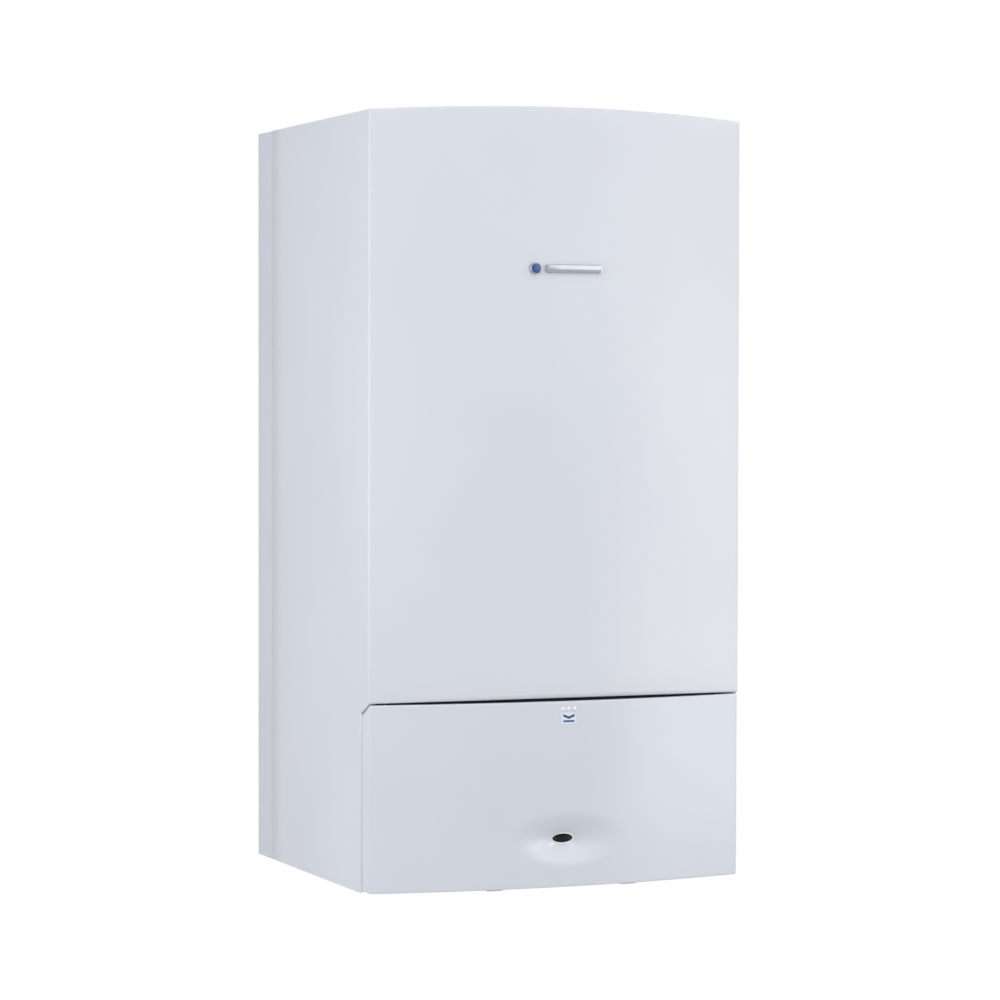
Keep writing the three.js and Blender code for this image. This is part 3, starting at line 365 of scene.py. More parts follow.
# Grey polypropylene of the condensate parts: waxy, semi-matt.
GREY_POLYPROPYLENE = Finish(
    "grey_polypropylene", "9ca2a7", "939a9f", Surface.MOULDED, 1.0, 0.02, 50, (0.45, 0.55)
)
# Glazed alumina of the electrode's insulator.
GLAZED_ALUMINA = Finish(
    "glazed_alumina", "f0ece2", "e9e4d8", Surface.POLISHED, 1.0, 0.005, 15, (0.12, 0.2), coat=0.5
)
# Screen-printed inks: thin even films, drier than the plastic under them.
PALE_INK = Finish(
    "pale_printing_ink", "eef2fa", "e9eef8", Surface.MOULDED, 0.4, 0.002, 6, (0.45, 0.5)
)
BLUE_INK = Finish(
    "blue_printing_ink", "2c4f95", "29498b", Surface.MOULDED, 0.4, 0.002, 6, (0.45, 0.5)
)
DARK_INK = Finish(
    "dark_printing_ink", "3c4148", "41464d", Surface.MOULDED, 0.4, 0.002, 6, (0.5, 0.55)
)
# Matt white paint of the gauge's dial and of the display's figures.
DIAL_WHITE = Finish(
    "dial_white", "f0f1f0", "ebecea", Surface.MOULDED, 0.5, 0.002, 20, (0.55, 0.6)
)
# Green cast acrylic of the lamp's lens: clear colour with sharp reflections.
GREEN_ACRYLIC = Finish(
    "green_acrylic", "58c17a", "4db36e", Surface.POLISHED, 1.0, 0.002, 8, (0.08, 0.14), coat=0.5
)
# Smoked acrylic window over the display: near-black with sharp reflections.
SMOKED_ACRYLIC = Finish(
    "smoked_acrylic", "14191c", "181d21", Surface.POLISHED, 3.0, 0.002, 30, (0.05, 0.09), coat=0.5
)


# ----------------------------------------------------------------------------- mesh making


def make_piece(
    name: str,
    mesh: bpy.types.Mesh,
    body: str,
    finish: Finish,
    smooth: float = 32.0,
) -> bpy.types.Object:
    """Puts a mesh in the scene as a dressed piece that rides on a body.

    Args:
        name: Piece name.
        mesh: Mesh in the shared frame, in metres.
        body: Body that carries it.
        finish: What it is made of.
        smooth: Angle in degrees above which an edge stays sharp.

    Returns:
        The new object.
    """
    piece = bpy.data.objects.new(name, mesh)
    bpy.context.scene.collection.objects.link(piece)
    mesh.materials.clear()
    mesh.materials.append(finish.material())
    mesh.shade_smooth()
    mesh.set_sharp_from_angle(angle=math.radians(smooth))
    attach(piece, body)
    log.info("%s on %s, %d faces, %s", name, body, len(mesh.polygons), finish.name)
    return piece


def mesh_of(builder: bmesh.types.BMesh, name: str) -> bpy.types.Mesh:
    """Closes a bmesh into a mesh with its faces turned outwards.

    Args:
        builder: The closed shape, which is freed.
        name: Mesh name.

    Returns:
        The new mesh.
    """
    bmesh.ops.recalc_face_normals(builder, faces=builder.faces)
    mesh = bpy.data.meshes.new(name)
    builder.to_mesh(mesh)
    builder.free()
    return mesh


def apply_modifiers(piece: bpy.types.Object) -> None:
    """Writes a piece's modifiers into its mesh and removes them.

    Args:
        piece: Object whose mesh is replaced.
    """
    graph = bpy.context.evaluated_depsgraph_get()
    done = bpy.data.meshes.new_from_object(piece.evaluated_get(graph), depsgraph=graph)
    old = piece.data
    piece.modifiers.clear()
    piece.data = done
    bpy.data.meshes.remove(old)


def lathe_mesh(
    name: str, profile: Outline, centre: Vector, axis: Axis, facets: int = 64
) -> bpy.types.Mesh:
    """A turned mesh.

    Args:
        name: Mesh name.
        profile: Radius and distance along the axis, in millimetres, from axis to axis.
        centre: Where the profile's zero lies, in metres.
        axis: The positive direction of the profile.
        facets: Faces round the axis.

    Returns:
        A closed mesh.
    """
    builder = bmesh.new()
    rings = []
    for radius, along in profile:
        count = 1 if radius == 0 else facets
        ring = []
        for i in range(count):
            turn = 2 * math.pi * i / facets
            u, v = radius * math.cos(turn), radius * math.sin(turn)
            spot = {Axis.X: (along, u, v), Axis.Y: (u, along, v), Axis.Z: (u, v, along)}[axis]
            ring.append(builder.verts.new(centre + Vector(spot) * MM))
        rings.append(ring)
    join_loops(builder, rings, facets)
    return mesh_of(builder, name)


def join_loops(
    builder: bmesh.types.BMesh, loops: list[list[bmesh.types.BMVert]], facets: int
) -> None:
    """Joins loops of points that follow each other, of which some are a single point.

    Args:
        builder: Mesh that holds the points.
        loops: Loops with one point or as many points as there are facets.
        facets: Faces round each loop.
    """
    for near, far in zip(loops, loops[1:]):
        for i in range(facets):
            j = (i + 1) % facets
            corners = [near[i % len(near)], near[j % len(near)]]
            corners += [far[j % len(far)], far[i % len(far)]]
            unique = list(dict.fromkeys(corners))
            if len(unique) > 2:
                builder.faces.new(unique)


def block_mesh(
    name: str, low: Point, high: Point, radius: float, steps: int = 3
) -> bpy.types.Mesh:
    """A box with rounded edges.

    Args:
        name: Mesh name.
        low: Lowest corner in millimetres.
        high: Highest corner in millimetres.
        radius: Edge radius in millimetres.
        steps: Facets round each edge.

    Returns:
        A closed mesh.
    """
    builder = bmesh.new()
    bmesh.ops.create_cube(builder, size=1.0)
    size = Vector([(b - a) * MM for a, b in zip(low, high)])
    middle = (placed(*low) + placed(*high)) / 2
    for vertex in builder.verts:
        vertex.co = Vector([c * s for c, s in zip(vertex.co, size)]) + middle
    bmesh.ops.bevel(
        builder,
        geom=builder.edges[:],
        offset=radius * MM,
        segments=steps,
        profile=0.5,
        affect="EDGES",
        clamp_overlap=True,
    )
    return mesh_of(builder, name)


def flat_mesh(name: str, outline: Outline, y: float, thick: float) -> bpy.types.Mesh:
    """A thin plate that faces the front, from an outline in x and z.

    Args:
        name: Mesh name.
        outline: Corners in millimetres, in order.
        y: Front face in millimetres.
        thick: Thickness towards the wall in millimetres.

    Returns:
        A closed mesh.
    """
    builder = bmesh.new()
    add_plate(builder, outline, y, thick)
    return mesh_of(builder, name)


def add_plate(
    builder: bmesh.types.BMesh, outline: Outline, y: float, thick: float
) -> None:
    """Adds a thin plate that faces the front.

    Args:
        builder: Mesh that takes it.
        outline: Corners in x and z, in millimetres, in order.
        y: Front face in millimetres.
        thick: Thickness towards the wall in millimetres.
    """
    front = [builder.verts.new(placed(x, y, z)) for x, z in outline]
    back = [builder.verts.new(placed(x, y + thick, z)) for x, z in outline]
    builder.faces.new(front)
    builder.faces.new(back[::-1])
    for i in range(len(outline)):
        j = (i + 1) % len(outline)
        builder.faces.new([front[i], back[i], back[j], front[j]])


def join_sections(
    builder: bmesh.types.BMesh, sections: list[list[bmesh.types.BMVert]], closed: bool = False
) -> None:
    """Joins rings of points that follow each other, and caps the ends of an open row.

    Args:
        builder: Mesh that holds the points.
        sections: Rings with as many points each.
        closed: True where the last ring meets the first one.
    """
    following = sections[1:] + sections[:1] if closed else sections[1:]
    for near, far in zip(sections, following):
        for i in range(len(near)):
            j = (i + 1) % len(near)
            builder.faces.new([near[i], far[i], far[j], near[j]])
    if not closed:
        builder.faces.new(sections[0])
        builder.faces.new(sections[-1][::-1])


# ----------------------------------------------------------------------------- curved front


@dataclass(frozen=True)
class FrontCurve:
    """The plan of the casing: straight sides, round folds and a bowed front.

    Attributes:
        half: Half the width over the sides.
        side_depth: Wall to the folds.
        bulge: How far the front bows out between them.
    """

    half: float = 220.0
    side_depth: float = 376.5
    bulge: float = 25.0

    @property
    def radius(self) -> float:
        """Radius of the bowed front."""
        return (self.half**2 + self.bulge**2) / (2 * self.bulge)

    @property
    def centre_y(self) -> float:
        """Where the bow's centre lies."""
        return self.radius - self.bulge - self.side_depth

    def y_at(self, x: float) -> float:
        """The front face's y at a given x."""
        return self.centre_y - math.sqrt(self.radius**2 - x * x)


class Zone(Enum):
    """The stretches of a folded sheet's plan."""

    SIDE = "flat side"
    FOLD = "upright fold"
    FRONT = "bowed front"


@dataclass(frozen=True)
class Column:
    """One upright line of a folded shell.

    Attributes:
        zone: Stretch of the plan that it lies on.
        x: Place across.
        y: Place in depth.
        turn: Direction of the outward normal, in radians.
    """

    zone: Zone
    x: float
    y: float
    turn: float


@dataclass
class FoldedShell:
    """A sheet folded round the plan curve, with rounded edges and returns.

    Attributes:
        curve: The casing's plan.
        half: Half width of this shell.
        fold: Outside radius of its upright folds.
        edge: Outside radius where the upper edge turns in.
        across: Places of the front columns.
        sides: Distances from the wall of the side columns.
        spare: Least distance from a front column to a fold.
        columns: The upright lines from left rear to right rear, worked out from the rest.
    """

    curve: FrontCurve
    half: float
    fold: float
    edge: float
    across: list[float]
    sides: list[float]
    spare: float = 0.5
    columns: list[Column] = field(default_factory=list)

    def __post_init__(self) -> None:
        """Works out the columns from left rear to right rear."""
        centre_x = self.half - self.fold
        reach = self.curve.radius - self.fold
        centre_y = self.curve.centre_y - math.sqrt(reach**2 - centre_x**2)
        last = math.atan2(centre_y - self.curve.centre_y, -centre_x) % (2 * math.pi)
        left = [Column(Zone.SIDE, -self.half, -y, math.pi) for y in self.sides]
        steps = 8
        for i in range(steps + 1):
            turn = math.pi + (last - math.pi) * i / steps
            x = -centre_x + self.fold * math.cos(turn)
            left.append(Column(Zone.FOLD, x, centre_y + self.fold * math.sin(turn), turn))
        edge = abs(left[-1].x)
        front = []
        for x in self.across:
            if abs(x) < edge - self.spare:
                y = self.curve.y_at(x)
                front.append(Column(Zone.FRONT, x, y, math.atan2(y - self.curve.centre_y, x)))
        right = [Column(c.zone, -c.x, c.y, math.pi - c.turn) for c in reversed(left)]
        self.columns = left + front + right

    def mitre(self, inset: float) -> tuple[float, float]:
        """Where the lines of side and front meet when both are inset, on the right."""
        x = self.half - inset
        return x, self.curve.centre_y - math.sqrt((self.curve.radius - inset) ** 2 - x * x)

    def inset(self, column: Column, depth: float) -> tuple[float, float]:
        """A column's place moved inwards.

        Args:
            column: The column.
            depth: Distance inside the outer face.

        Returns:
            x and y in millimetres.
        """
        x = column.x - depth * math.cos(column.turn)
        y = column.y - depth * math.sin(column.turn)
        corner_x, corner_y = self.mitre(depth)
        if column.zone is Zone.SIDE:
            return math.copysign(corner_x, column.x), max(y, corner_y)
        if column.zone is Zone.FOLD and depth > self.fold:
            return math.copysign(corner_x, column.x), corner_y
        if column.zone is Zone.FRONT and abs(x) > corner_x:
            return math.copysign(corner_x, x), corner_y
        return x, y

    def wrap(
        self, low: float, high: float, lower: float, upper: float, rows: list[float], foot: float
    ) -> list[tuple[float, float]]:
        """One column's profile, from the end of the lower return to the end of the upper one.

        Args:
            low: Height of the lower edge.
            high: Height of the upper edge.
            lower: Depth of the lower return, or 0 for a cut edge.
            upper: Depth of the upper return, or 0 for a cut edge.
            rows: Heights between the edges, as shares from 0 to 1.
            foot: Outside radius where the lower edge turns in.

        Returns:
            Inset and height pairs.
        """
        turns = [math.radians(a) for a in (90, 72, 54, 36, 18, 0)]
        soft_low = foot if lower else 0.0
        soft_high = self.edge if upper else 0.0
        profile = [(lower, low), ((lower + soft_low) / 2, low)]
        profile += [
            (soft_low * (1 - math.cos(a)), low + soft_low * (1 - math.sin(a))) for a in turns
        ]
        start, end = low + soft_low, high - soft_high
        profile += [(0.0, start + (end - start) * share) for share in rows]
        profile += [
            (soft_high * (1 - math.cos(a)), high - soft_high * (1 - math.sin(a)))
            for a in reversed(turns)
        ]
        profile += [((upper + soft_high) / 2, high), (upper, high)]
        return profile


def build_grid(builder: bmesh.types.BMesh, lines: list[list[Vector]]) -> None:
    """Joins neighbouring lines of points with quads.

    Args:
        builder: Mesh that takes them.
        lines: Lines with as many points each.
    """
    grid = [[builder.verts.new(point) for point in line] for line in lines]
    for near, far in zip(grid, grid[1:]):
        for i in range(len(near) - 1):
            builder.faces.new([near[i], far[i], far[i + 1], near[i + 1]])


def finish_sheet(builder: bmesh.types.BMesh, name: str, thick: float) -> bpy.types.Object:
    """Welds a grid, gives it thickness towards the inside and rounds its cut edges.

    Args:
        builder: The grid, facing outwards.
        name: Mesh name.
        thick: Thickness in millimetres.

    Returns:
        A loose object that holds the mesh.
    """
    bmesh.ops.remove_doubles(builder, verts=builder.verts, dist=0.02 * MM)
    bmesh.ops.dissolve_degenerate(builder, edges=builder.edges, dist=0.01 * MM)
    mesh = bpy.data.meshes.new(name)
    builder.to_mesh(mesh)
    builder.free()
    holder = bpy.data.objects.new(name + "_sheet", mesh)
    bpy.context.scene.collection.objects.link(holder)
    wall = holder.modifiers.new("wall", "SOLIDIFY")
    wall.thickness = thick * MM
    wall.offset = -1.0
    wall.use_even_offset = True
    wall.use_quality_normals = True
    apply_modifiers(holder)
    sharp = holder.data
    corners = [vertex.co.copy() for vertex in sharp.vertices]
    surface = BVHTree.FromPolygons(corners, [face.vertices[:] for face in sharp.polygons])
    rounding = holder.modifiers.new("rounded_cut_edges", "BEVEL")
    rounding.width = CUT_EDGE * MM
    rounding.segments = 2
    rounding.limit_method = "ANGLE"
    rounding.angle_limit = math.radians(60)
    rounding.use_clamp_overlap = False
    apply_modifiers(holder)
    strays = 0
    for vertex in holder.data.vertices:
        nearest, _, _, distance = surface.find_nearest(vertex.co)
        if distance > CUT_EDGE * MM:
            vertex.co = nearest
            strays += 1
    log.info("%s: %d stray corners of the rounding put back on the sheet", name, strays)
    return holder


@dataclass
class OuterCasing:
    """The one-piece folded steel casing, from the wall-side seam to the curved front.

    Attributes:
        curve: Plan of the front.
        side_height: Height of the sides.
        crown: How far the top edge arches over them.
        sheet: Sheet thickness.
        fold: Outside radius of the upright folds.
        edge: Outside radius where the top edge turns in.
        strip: Wall to the rear edge of the sides.
        lip_height: Height of the upper front's lower edge at the folds.
        lip_rise: How far that edge arches up.
        lip_fold: Radius of its turn at the folds and in the middle.
        lip_depth: Depth of its return.
        top_return: Depth of the top edge's return.
        notch_y: Wall to the upright seam beside the flap.
        notch_z: Height where the sloping seam starts.
        flange: Depth of the return along the side's foot.
        flange_z: Height of that return.
        flange_start: Distance from the upright seam to its front end.
        flange_round: Its edge radius.
        seam: Depth of the return along the seam beside the flap.
        seam_foot: Height where the return of the upright seam starts.
        seam_fold: Radius of its turn.
        side_places: Wall to the side columns between strip and seam.
        slope_places: Wall to the side columns along the sloping seam.
        steps_across: Steps between the front columns.
        steps_up: Steps between the rows.
        shade_strip_end: Distance from the folds to the ends of the black strip that paints the
            gap's shade.
    """

    curve: FrontCurve
    side_height: float = 843.0
    crown: float = 7.0
    sheet: float = 1.5
    fold: float = 2.8
    edge: float = 1.8
    strip: float = 50.3
    lip_height: float = 206.6
    lip_rise: float = 1.7
    lip_fold: tuple[float, float] = (2.0, 6.0)
    lip_depth: float = 14.0
    top_return: float = 16.0
    notch_y: float = 352.5
    notch_z: float = 195.0
    flange: float = 12.0
    flange_z: float = 4.0
    flange_start: float = 15.0
    flange_round: float = 0.5
    seam: float = 6.5
    seam_foot: float = 1.0
    seam_fold: float = 1.6
    side_places: tuple[float, ...] = (120, 200, 280, 330)
    slope_places: tuple[float, ...] = (354.5, 360, 366, 371)
    steps_across: int = 80
    steps_up: int = 24
    shade_strip_end: float = 20.0

    def low_edge(self, column: Column) -> float:
        """Height of the lower edge of the upper part at a column.

        Args:
            column: The upright line.

        Returns:
            Height in millimetres: arched in front, sloping beside the flap, level behind it.
        """
        if column.zone is Zone.FRONT:
            share = 1 - (column.x / self.curve.half) ** 2
            return self.lip_height + self.lip_rise * share
        depth = -column.y
        if depth <= self.notch_y:
            return self.notch_z
        run = self.curve.side_depth - self.notch_y
        share = min((depth - self.notch_y) / run, 1.0)
        return self.notch_z + (self.lip_height - self.notch_z) * share

    def foot(self, column: Column) -> float:
        """Radius where the lower edge turns in, which grows towards the middle."""
        narrow, wide = self.lip_fold
        return narrow + (wide - narrow) * (1 - (column.x / self.curve.half) ** 2)

    def high_edge(self, column: Column) -> float:
        """Height of the arched top edge at a column."""
        if column.zone is Zone.SIDE:
            return self.side_height
        return self.side_height + self.crown * (1 - (column.x / self.curve.half) ** 2)

    def build(self) -> None:
        """Builds the casing and stands it in for its solid."""
        steps = self.steps_across
        across = [self.curve.half * (2 * i / steps - 1) for i in range(steps + 1)]
        straight = [self.strip, *self.side_places, self.notch_y - self.seam_fold]
        sides = [*straight, self.notch_y, *self.slope_places]
        shell = FoldedShell(
            self.curve, self.curve.half, self.fold, self.edge, across, sides
        )
        shares = [i / self.steps_up for i in range(1, self.steps_up)]
        lines = []
        for column in shell.columns:
            low, high = self.low_edge(column), self.high_edge(column)
            lower = self.lip_depth
            if column.zone is Zone.SIDE:
                lower = self.seam if -column.y > self.notch_y else 0.0
            profile = shell.wrap(low, high, lower, self.top_return, shares, self.foot(column))
            lines.append([placed(*shell.inset(column, inset), z) for inset, z in profile])
        builder = bmesh.new()
        build_grid(builder, lines)
        for side in (-1, 1):
            self.lower_side(builder, straight, side)
        holder = finish_sheet(builder, "casing_shell", self.sheet)
        mesh = holder.data
        bpy.data.objects.remove(holder)
        piece = make_piece("casing_shell", mesh, BODY, CASING_ENAMEL)
        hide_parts("outer_casing")
        self.build_foot()
        self.build_gap_shade(shell)

    def build_foot(self) -> None:
        """The returns along the foot of both sides, just clear of the sheet."""
        clearance = 0.05
        for side, name in ((-1, "casing_return_left"), (1, "casing_return_right")):
            inner = side * (self.curve.half - self.flange)
            outer = side * (self.curve.half - self.sheet - clearance)
            low = (min(inner, outer), -self.notch_y + self.flange_start, self.flange_z)
            high = (max(inner, outer), -self.strip, self.flange_z + self.sheet)
            strip = block_mesh(name, low, high, self.flange_round)
            make_piece(name, strip, BODY, CASING_ENAMEL)

    def build_gap_shade(self, shell: FoldedShell) -> None:
        """A black foam strip stuck to the back of the lip's return: painted shade, dark where the
        gap between flap and casing is in shadow.

        Args:
            shell: The folded sheet that the strip follows.
        """
        builder = bmesh.new()
        sections = []
        near, back, far = 13.4, 14.05, 16.4
        foot, top, under = -3.6, 6.0, -0.1
        section = [(near, foot), (far, foot), (far, top), (back, top), (back, under), (near, under)]
        for column in shell.columns:
            if column.zone is not Zone.FRONT or abs(column.x) > self.curve.half - self.shade_strip_end:
                continue
            low = self.low_edge(column)
            ring = [placed(*shell.inset(column, inset), low + rise) for inset, rise in section]
            sections.append([builder.verts.new(point) for point in ring])
        join_sections(builder, sections)
        # painted shade: the black strip darkens the gap between flap and casing
        make_piece("gap_shade_strip", mesh_of(builder, "gap_shade_strip"), BODY, GAP_SHADE_BLACK)

    def lower_side(self, builder: bmesh.types.BMesh, depths: list[float], side: int) -> None:
        """Adds one side wall below the sloping seam, with its return along the upright one.

        Args:
            builder: Mesh that takes the wall.
            depths: Distances of its columns from the wall.
            side: -1 for the left wall and 1 for the right one.
        """
        plan = [(self.curve.half, y) for y in depths]
        for angle in (30, 60, 90):  # round the fold of the upright seam
            turn = math.radians(angle)
            x = self.curve.half - self.seam_fold * (1 - math.cos(turn))
            plan.append((x, self.notch_y - self.seam_fold * (1 - math.sin(turn))))
        plan.append((self.curve.half - self.seam, self.notch_y))
        run = self.notch_z - self.seam_foot
        rows = 5
        heights = [0.0] + [self.seam_foot + run * i / rows for i in range(rows + 1)]
        lines = [[placed(side * x, -y, z) for z in heights] for x, y in plan]
        if side > 0:
            lines.reverse()
        foot = [line[:2] for line in lines]
        last = len(depths) - 1
        build_grid(builder, [line[1:] for line in lines])
        build_grid(builder, foot[: last + 1] if side < 0 else foot[-last - 1 :])


@dataclass
class Dish:
    """The dished sight hole of the flap.

    Attributes:
        x: Middle across.
        z: Middle height.
        wide: Half width of the dish.
        tall: Half height of the dish.
        depth: Depth at the hole.
        hole_wide: Half width of the hole.
        hole_tall: Half height of the hole.
        power: How much steeper it gets towards the hole.
    """

    x: float = 1.5
    z: float = 54.0
    wide: float = 69.0
    tall: float = 31.0
    depth: float = 13.0
    hole_wide: float = 12.7
    hole_tall: float = 5.5
    power: float = 1.9

    def sink(self, x: float, z: float) -> float:
        """How far the flap's face is sunk at a place."""
        share = math.hypot((x - self.x) / self.wide, (z - self.z) / self.tall)
        if share >= 1:
            return 0.0
        hole = self.hole_wide / self.wide
        return self.depth * ((1 - max(share, hole)) / (1 - hole)) ** self.power

    def bead(self, front: float, radius: float, facets: int = 12) -> bpy.types.Mesh:
        """A rounded bead that follows the edge of the hole.

        Args:
            front: y of the flap's face in front of the hole.
            radius: Radius of the bead's section.
            facets: Faces round the section.

        Returns:
            A closed ring.
        """
        builder = bmesh.new()
        loops = []
        count = 72
        sunk, outwards = 0.3, 0.35  # from the edge of the hole to the section's middle
        for i in range(count):
            turn = 2 * math.pi * i / count
            across = Vector((math.cos(turn) * self.hole_tall, 0, math.sin(turn) * self.hole_wide))
            across.normalize()
            x = self.x + self.hole_wide * math.cos(turn)
            z = self.z + self.hole_tall * math.sin(turn)
            middle = placed(x, front + self.depth + sunk, z) + across * outwards * MM
            loop = []
            for k in range(facets):
                lean = 2 * math.pi * k / facets
                spoke = across * math.cos(lean) + Vector((0, math.sin(lean), 0))
                loop.append(builder.verts.new(middle + spoke * radius * MM))
            loops.append(loop)
        join_sections(builder, loops, closed=True)
        return mesh_of(builder, "sight_bead")


@dataclass
class FlapCover:
    """The moulded flap over the controls.

    Attributes:
        curve: Plan of the casing's front.
        dish: The sight hole's dish.
        low: Height of its lower edge.
        high: Height of its upper edge.
        inset: How far its sides lie inside the casing's.
        wall: Wall thickness.
        fold: Outside radius of its upright corners.
        edge: Outside radius of its upper and lower edges.
        rear: Wall to the rear edge of its sides.
        corner_z: Height of its upper edge at the rear.
        heel: Length of the heel behind the hinge.
        heel_rise: How far the heel is raised.
        rim: Depth of the returns.
        slope_places: Wall to the side columns in front of the heel.
        pitch_across: Step between front columns in the dish and beside it.
        pitch_up: Step between rows in the dish and beyond it.
        dot_pitch: Step between the touch dots.
        dot_x: Middle dot across.
        dot_z: Height of the dots.
        sign_x: Middle of the push sign across.
        sign_z: Middle height of the push sign.
        striker_z: Height of the striker.
        striker_end: y of its end.
        pin_x: Distance of the hinges from the middle.
        pin_y: y of the hinge axis.
        pin_z: Height of the hinge axis.
        pin_length: Length of a hinge pin.
        pin_radius: Radius of a hinge pin.
        cheek_x: Distance of a pin's cheeks from its middle.
    """

    curve: FrontCurve
    dish: Dish
    low: float = 2.0
    high: float = 204.9
    inset: float = 1.0
    wall: float = 2.5
    fold: float = 3.0
    edge: float = 1.6
    rear: float = 353.3
    corner_z: float = 192.6
    heel: float = 6.2
    heel_rise: float = 1.5
    rim: float = 10.0
    slope_places: tuple[float, ...] = (366, 371)
    pitch_across: tuple[float, float] = (1.5, 5.0)
    pitch_up: tuple[float, float] = (1.2, 6.0)
    dot_pitch: float = 6.8
    dot_x: float = 3.4
    dot_z: float = 196.6
    sign_x: float = 3.2
    sign_z: float = 186.6
    striker_z: float = 191.0
    striker_end: float = -389.65
    pin_x: float = 79.0
    pin_y: float = -385.0
    pin_z: float = 6.0
    pin_length: float = 26.0
    pin_radius: float = 2.0
    cheek_x: float = 11.5

    def low_edge(self, column: Column) -> float:
        """Height of the flap's lower edge at a column, raised at the heel for its swing."""
        return self.low + self.heel_rise * max(1 - (-column.y - self.rear) / self.heel, 0.0)

    def high_edge(self, column: Column) -> float:
        """Height of the flap's upper edge at a column."""
        depth = -column.y
        if column.zone is Zone.FRONT or depth >= self.curve.side_depth:
            return self.high
        share = (depth - self.rear) / (self.curve.side_depth - self.rear)
        return self.corner_z + (self.high - self.corner_z) * max(share, 0.0)

    @staticmethod
    def steps(
        low: float, high: float, fine: tuple[float, float], pitch: tuple[float, float]
    ) -> list[float]:
        """Places that are closer together in a fine stretch.

        Args:
            low: First place.
            high: Last place.
            fine: Ends of the fine stretch.
            pitch: Step in the fine stretch and outside it.

        Returns:
            The places in order.
        """
        places = [low]
        while places[-1] < high - 0.01:
            inside = fine[0] <= places[-1] < fine[1]
            places.append(min(places[-1] + (pitch[0] if inside else pitch[1]), high))
        return places

    def build(self) -> None:
        """Builds the flap with its dish, hole, touch dots and printed sign."""
        half = self.curve.half - self.inset
        dish = self.dish
        reach, rise, end = dish.wide + 4, dish.tall + 3, 3
        across = self.steps(-half, half, (dish.x - reach, dish.x + reach), self.pitch_across)
        sides = [self.rear, self.rear + self.heel, *self.slope_places]
        shell = FoldedShell(self.curve, half, self.fold, self.edge, across, sides)
        span = (dish.z - rise, dish.z + rise)
        heights = self.steps(self.low + end, self.high - end, span, self.pitch_up)
        run = self.high - self.low - 2 * shell.edge
        shares = [(z - self.low - shell.edge) / run for z in heights]
        lines = []
        for column in shell.columns:
            low, high = self.low_edge(column), self.high_edge(column)
            profile = shell.wrap(low, high, self.rim, self.rim, shares, shell.edge)
            line = []
            for inset, z in profile:
                x, y = shell.inset(column, inset)
                sink = dish.sink(x, z) if inset == 0 and column.zone is Zone.FRONT else 0.0
                line.append(placed(x, y + sink, z))
            lines.append(line)
        builder = bmesh.new()
        build_grid(builder, lines)
        holder = finish_sheet(builder, "flap_cover", self.wall)
        self.cut_hole(holder)
        mesh = holder.data
        bpy.data.objects.remove(holder)
        piece = make_piece("flap_cover", mesh, FLAP, FLAP_ABS)
        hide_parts("flap")
        self.build_sight()
        self.build_dots()
        self.build_sign()
        self.build_hinges()

    def cut_hole(self, holder: bpy.types.Object) -> None:
        """Cuts the oval sight hole through the bottom of the dish.

        Args:
            holder: Object that holds the flap's mesh.
        """
        dish = self.dish
        front = self.curve.y_at(dish.x)
        length = 30
        profile = [(0, 0), (1, 0), (1, length), (0, length)]
        plug_mesh = lathe_mesh("hole_plug", profile, Vector(), Axis.Y, 72)
        wide, tall = dish.hole_wide * MM, dish.hole_tall * MM
        for vertex in plug_mesh.vertices:
            x, y, z = vertex.co
            vertex.co = placed(dish.x, front, dish.z) + Vector((x * wide / MM, y, z * tall / MM))
        plug = bpy.data.objects.new("hole_plug", plug_mesh)
        bpy.context.scene.collection.objects.link(plug)
        hole = holder.modifiers.new("hole", "BOOLEAN")
        hole.operation = "DIFFERENCE"
        hole.solver = "EXACT"
        hole.object = plug
        apply_modifiers(holder)
        bpy.data.objects.remove(plug)
        bpy.data.meshes.remove(plug_mesh)

    def build_sight(self) -> None:
        """A black cup behind the sight hole: painted shade, dark nylon that stands in for the
        shadow inside the hole.
        """
        dish = self.dish
        lap, sunk, wall, deep = 1.2, 0.4, 0.9, 11.0
        wide, tall = dish.hole_wide + lap, dish.hole_tall + lap
        start = dish.depth + self.wall - sunk
        inner = [(1 - wall / tall, start), (1 - wall / tall, start + deep), (0, start + deep)]
        outer = [(0, start + deep + wall), (1, start + deep + wall), (1, start)]
        mesh = lathe_mesh("sight_hole_shade_cup", inner[::-1] + outer[::-1] + [inner[0]], Vector(), Axis.Y, 48)
        middle = placed(dish.x, self.curve.y_at(dish.x), dish.z)
        for vertex in mesh.vertices:
            x, y, z = vertex.co
            vertex.co = middle + Vector((x * wide, y, z * tall))
        # painted shade: the black cup darkens the sight hole
        make_piece("sight_hole_shade_cup", mesh, FLAP, BLACK_NYLON, 40)
        bead = dish.bead(self.curve.y_at(dish.x), radius=1.15)
        # painted highlight: the bead is coloured whiter than the flap's ABS
        make_piece("sight_bead", bead, FLAP, WHITE_ABS_PAINTED_HIGHLIGHT, 60)

    def build_dots(self) -> None:
        """The three raised dots that mark where to push."""
        profile = [(0, -1.5), (0.9, -1.38), (1.7, -0.95), (2.15, -0.3), (2.25, 0.6), (0, 0.6)]
        for i, place in ((-1, "left"), (0, "middle"), (1, "right")):
            name = "touch_dot_" + place
            x = self.dot_x + i * self.dot_pitch
            centre = placed(x, self.curve.y_at(x), self.dot_z)
            mesh = lathe_mesh(name, profile, centre, Axis.Y, 24)
            # painted highlight: the dots are coloured whiter than the flap's ABS
            make_piece(name, mesh, FLAP, WHITE_ABS_PAINTED_HIGHLIGHT, 60)

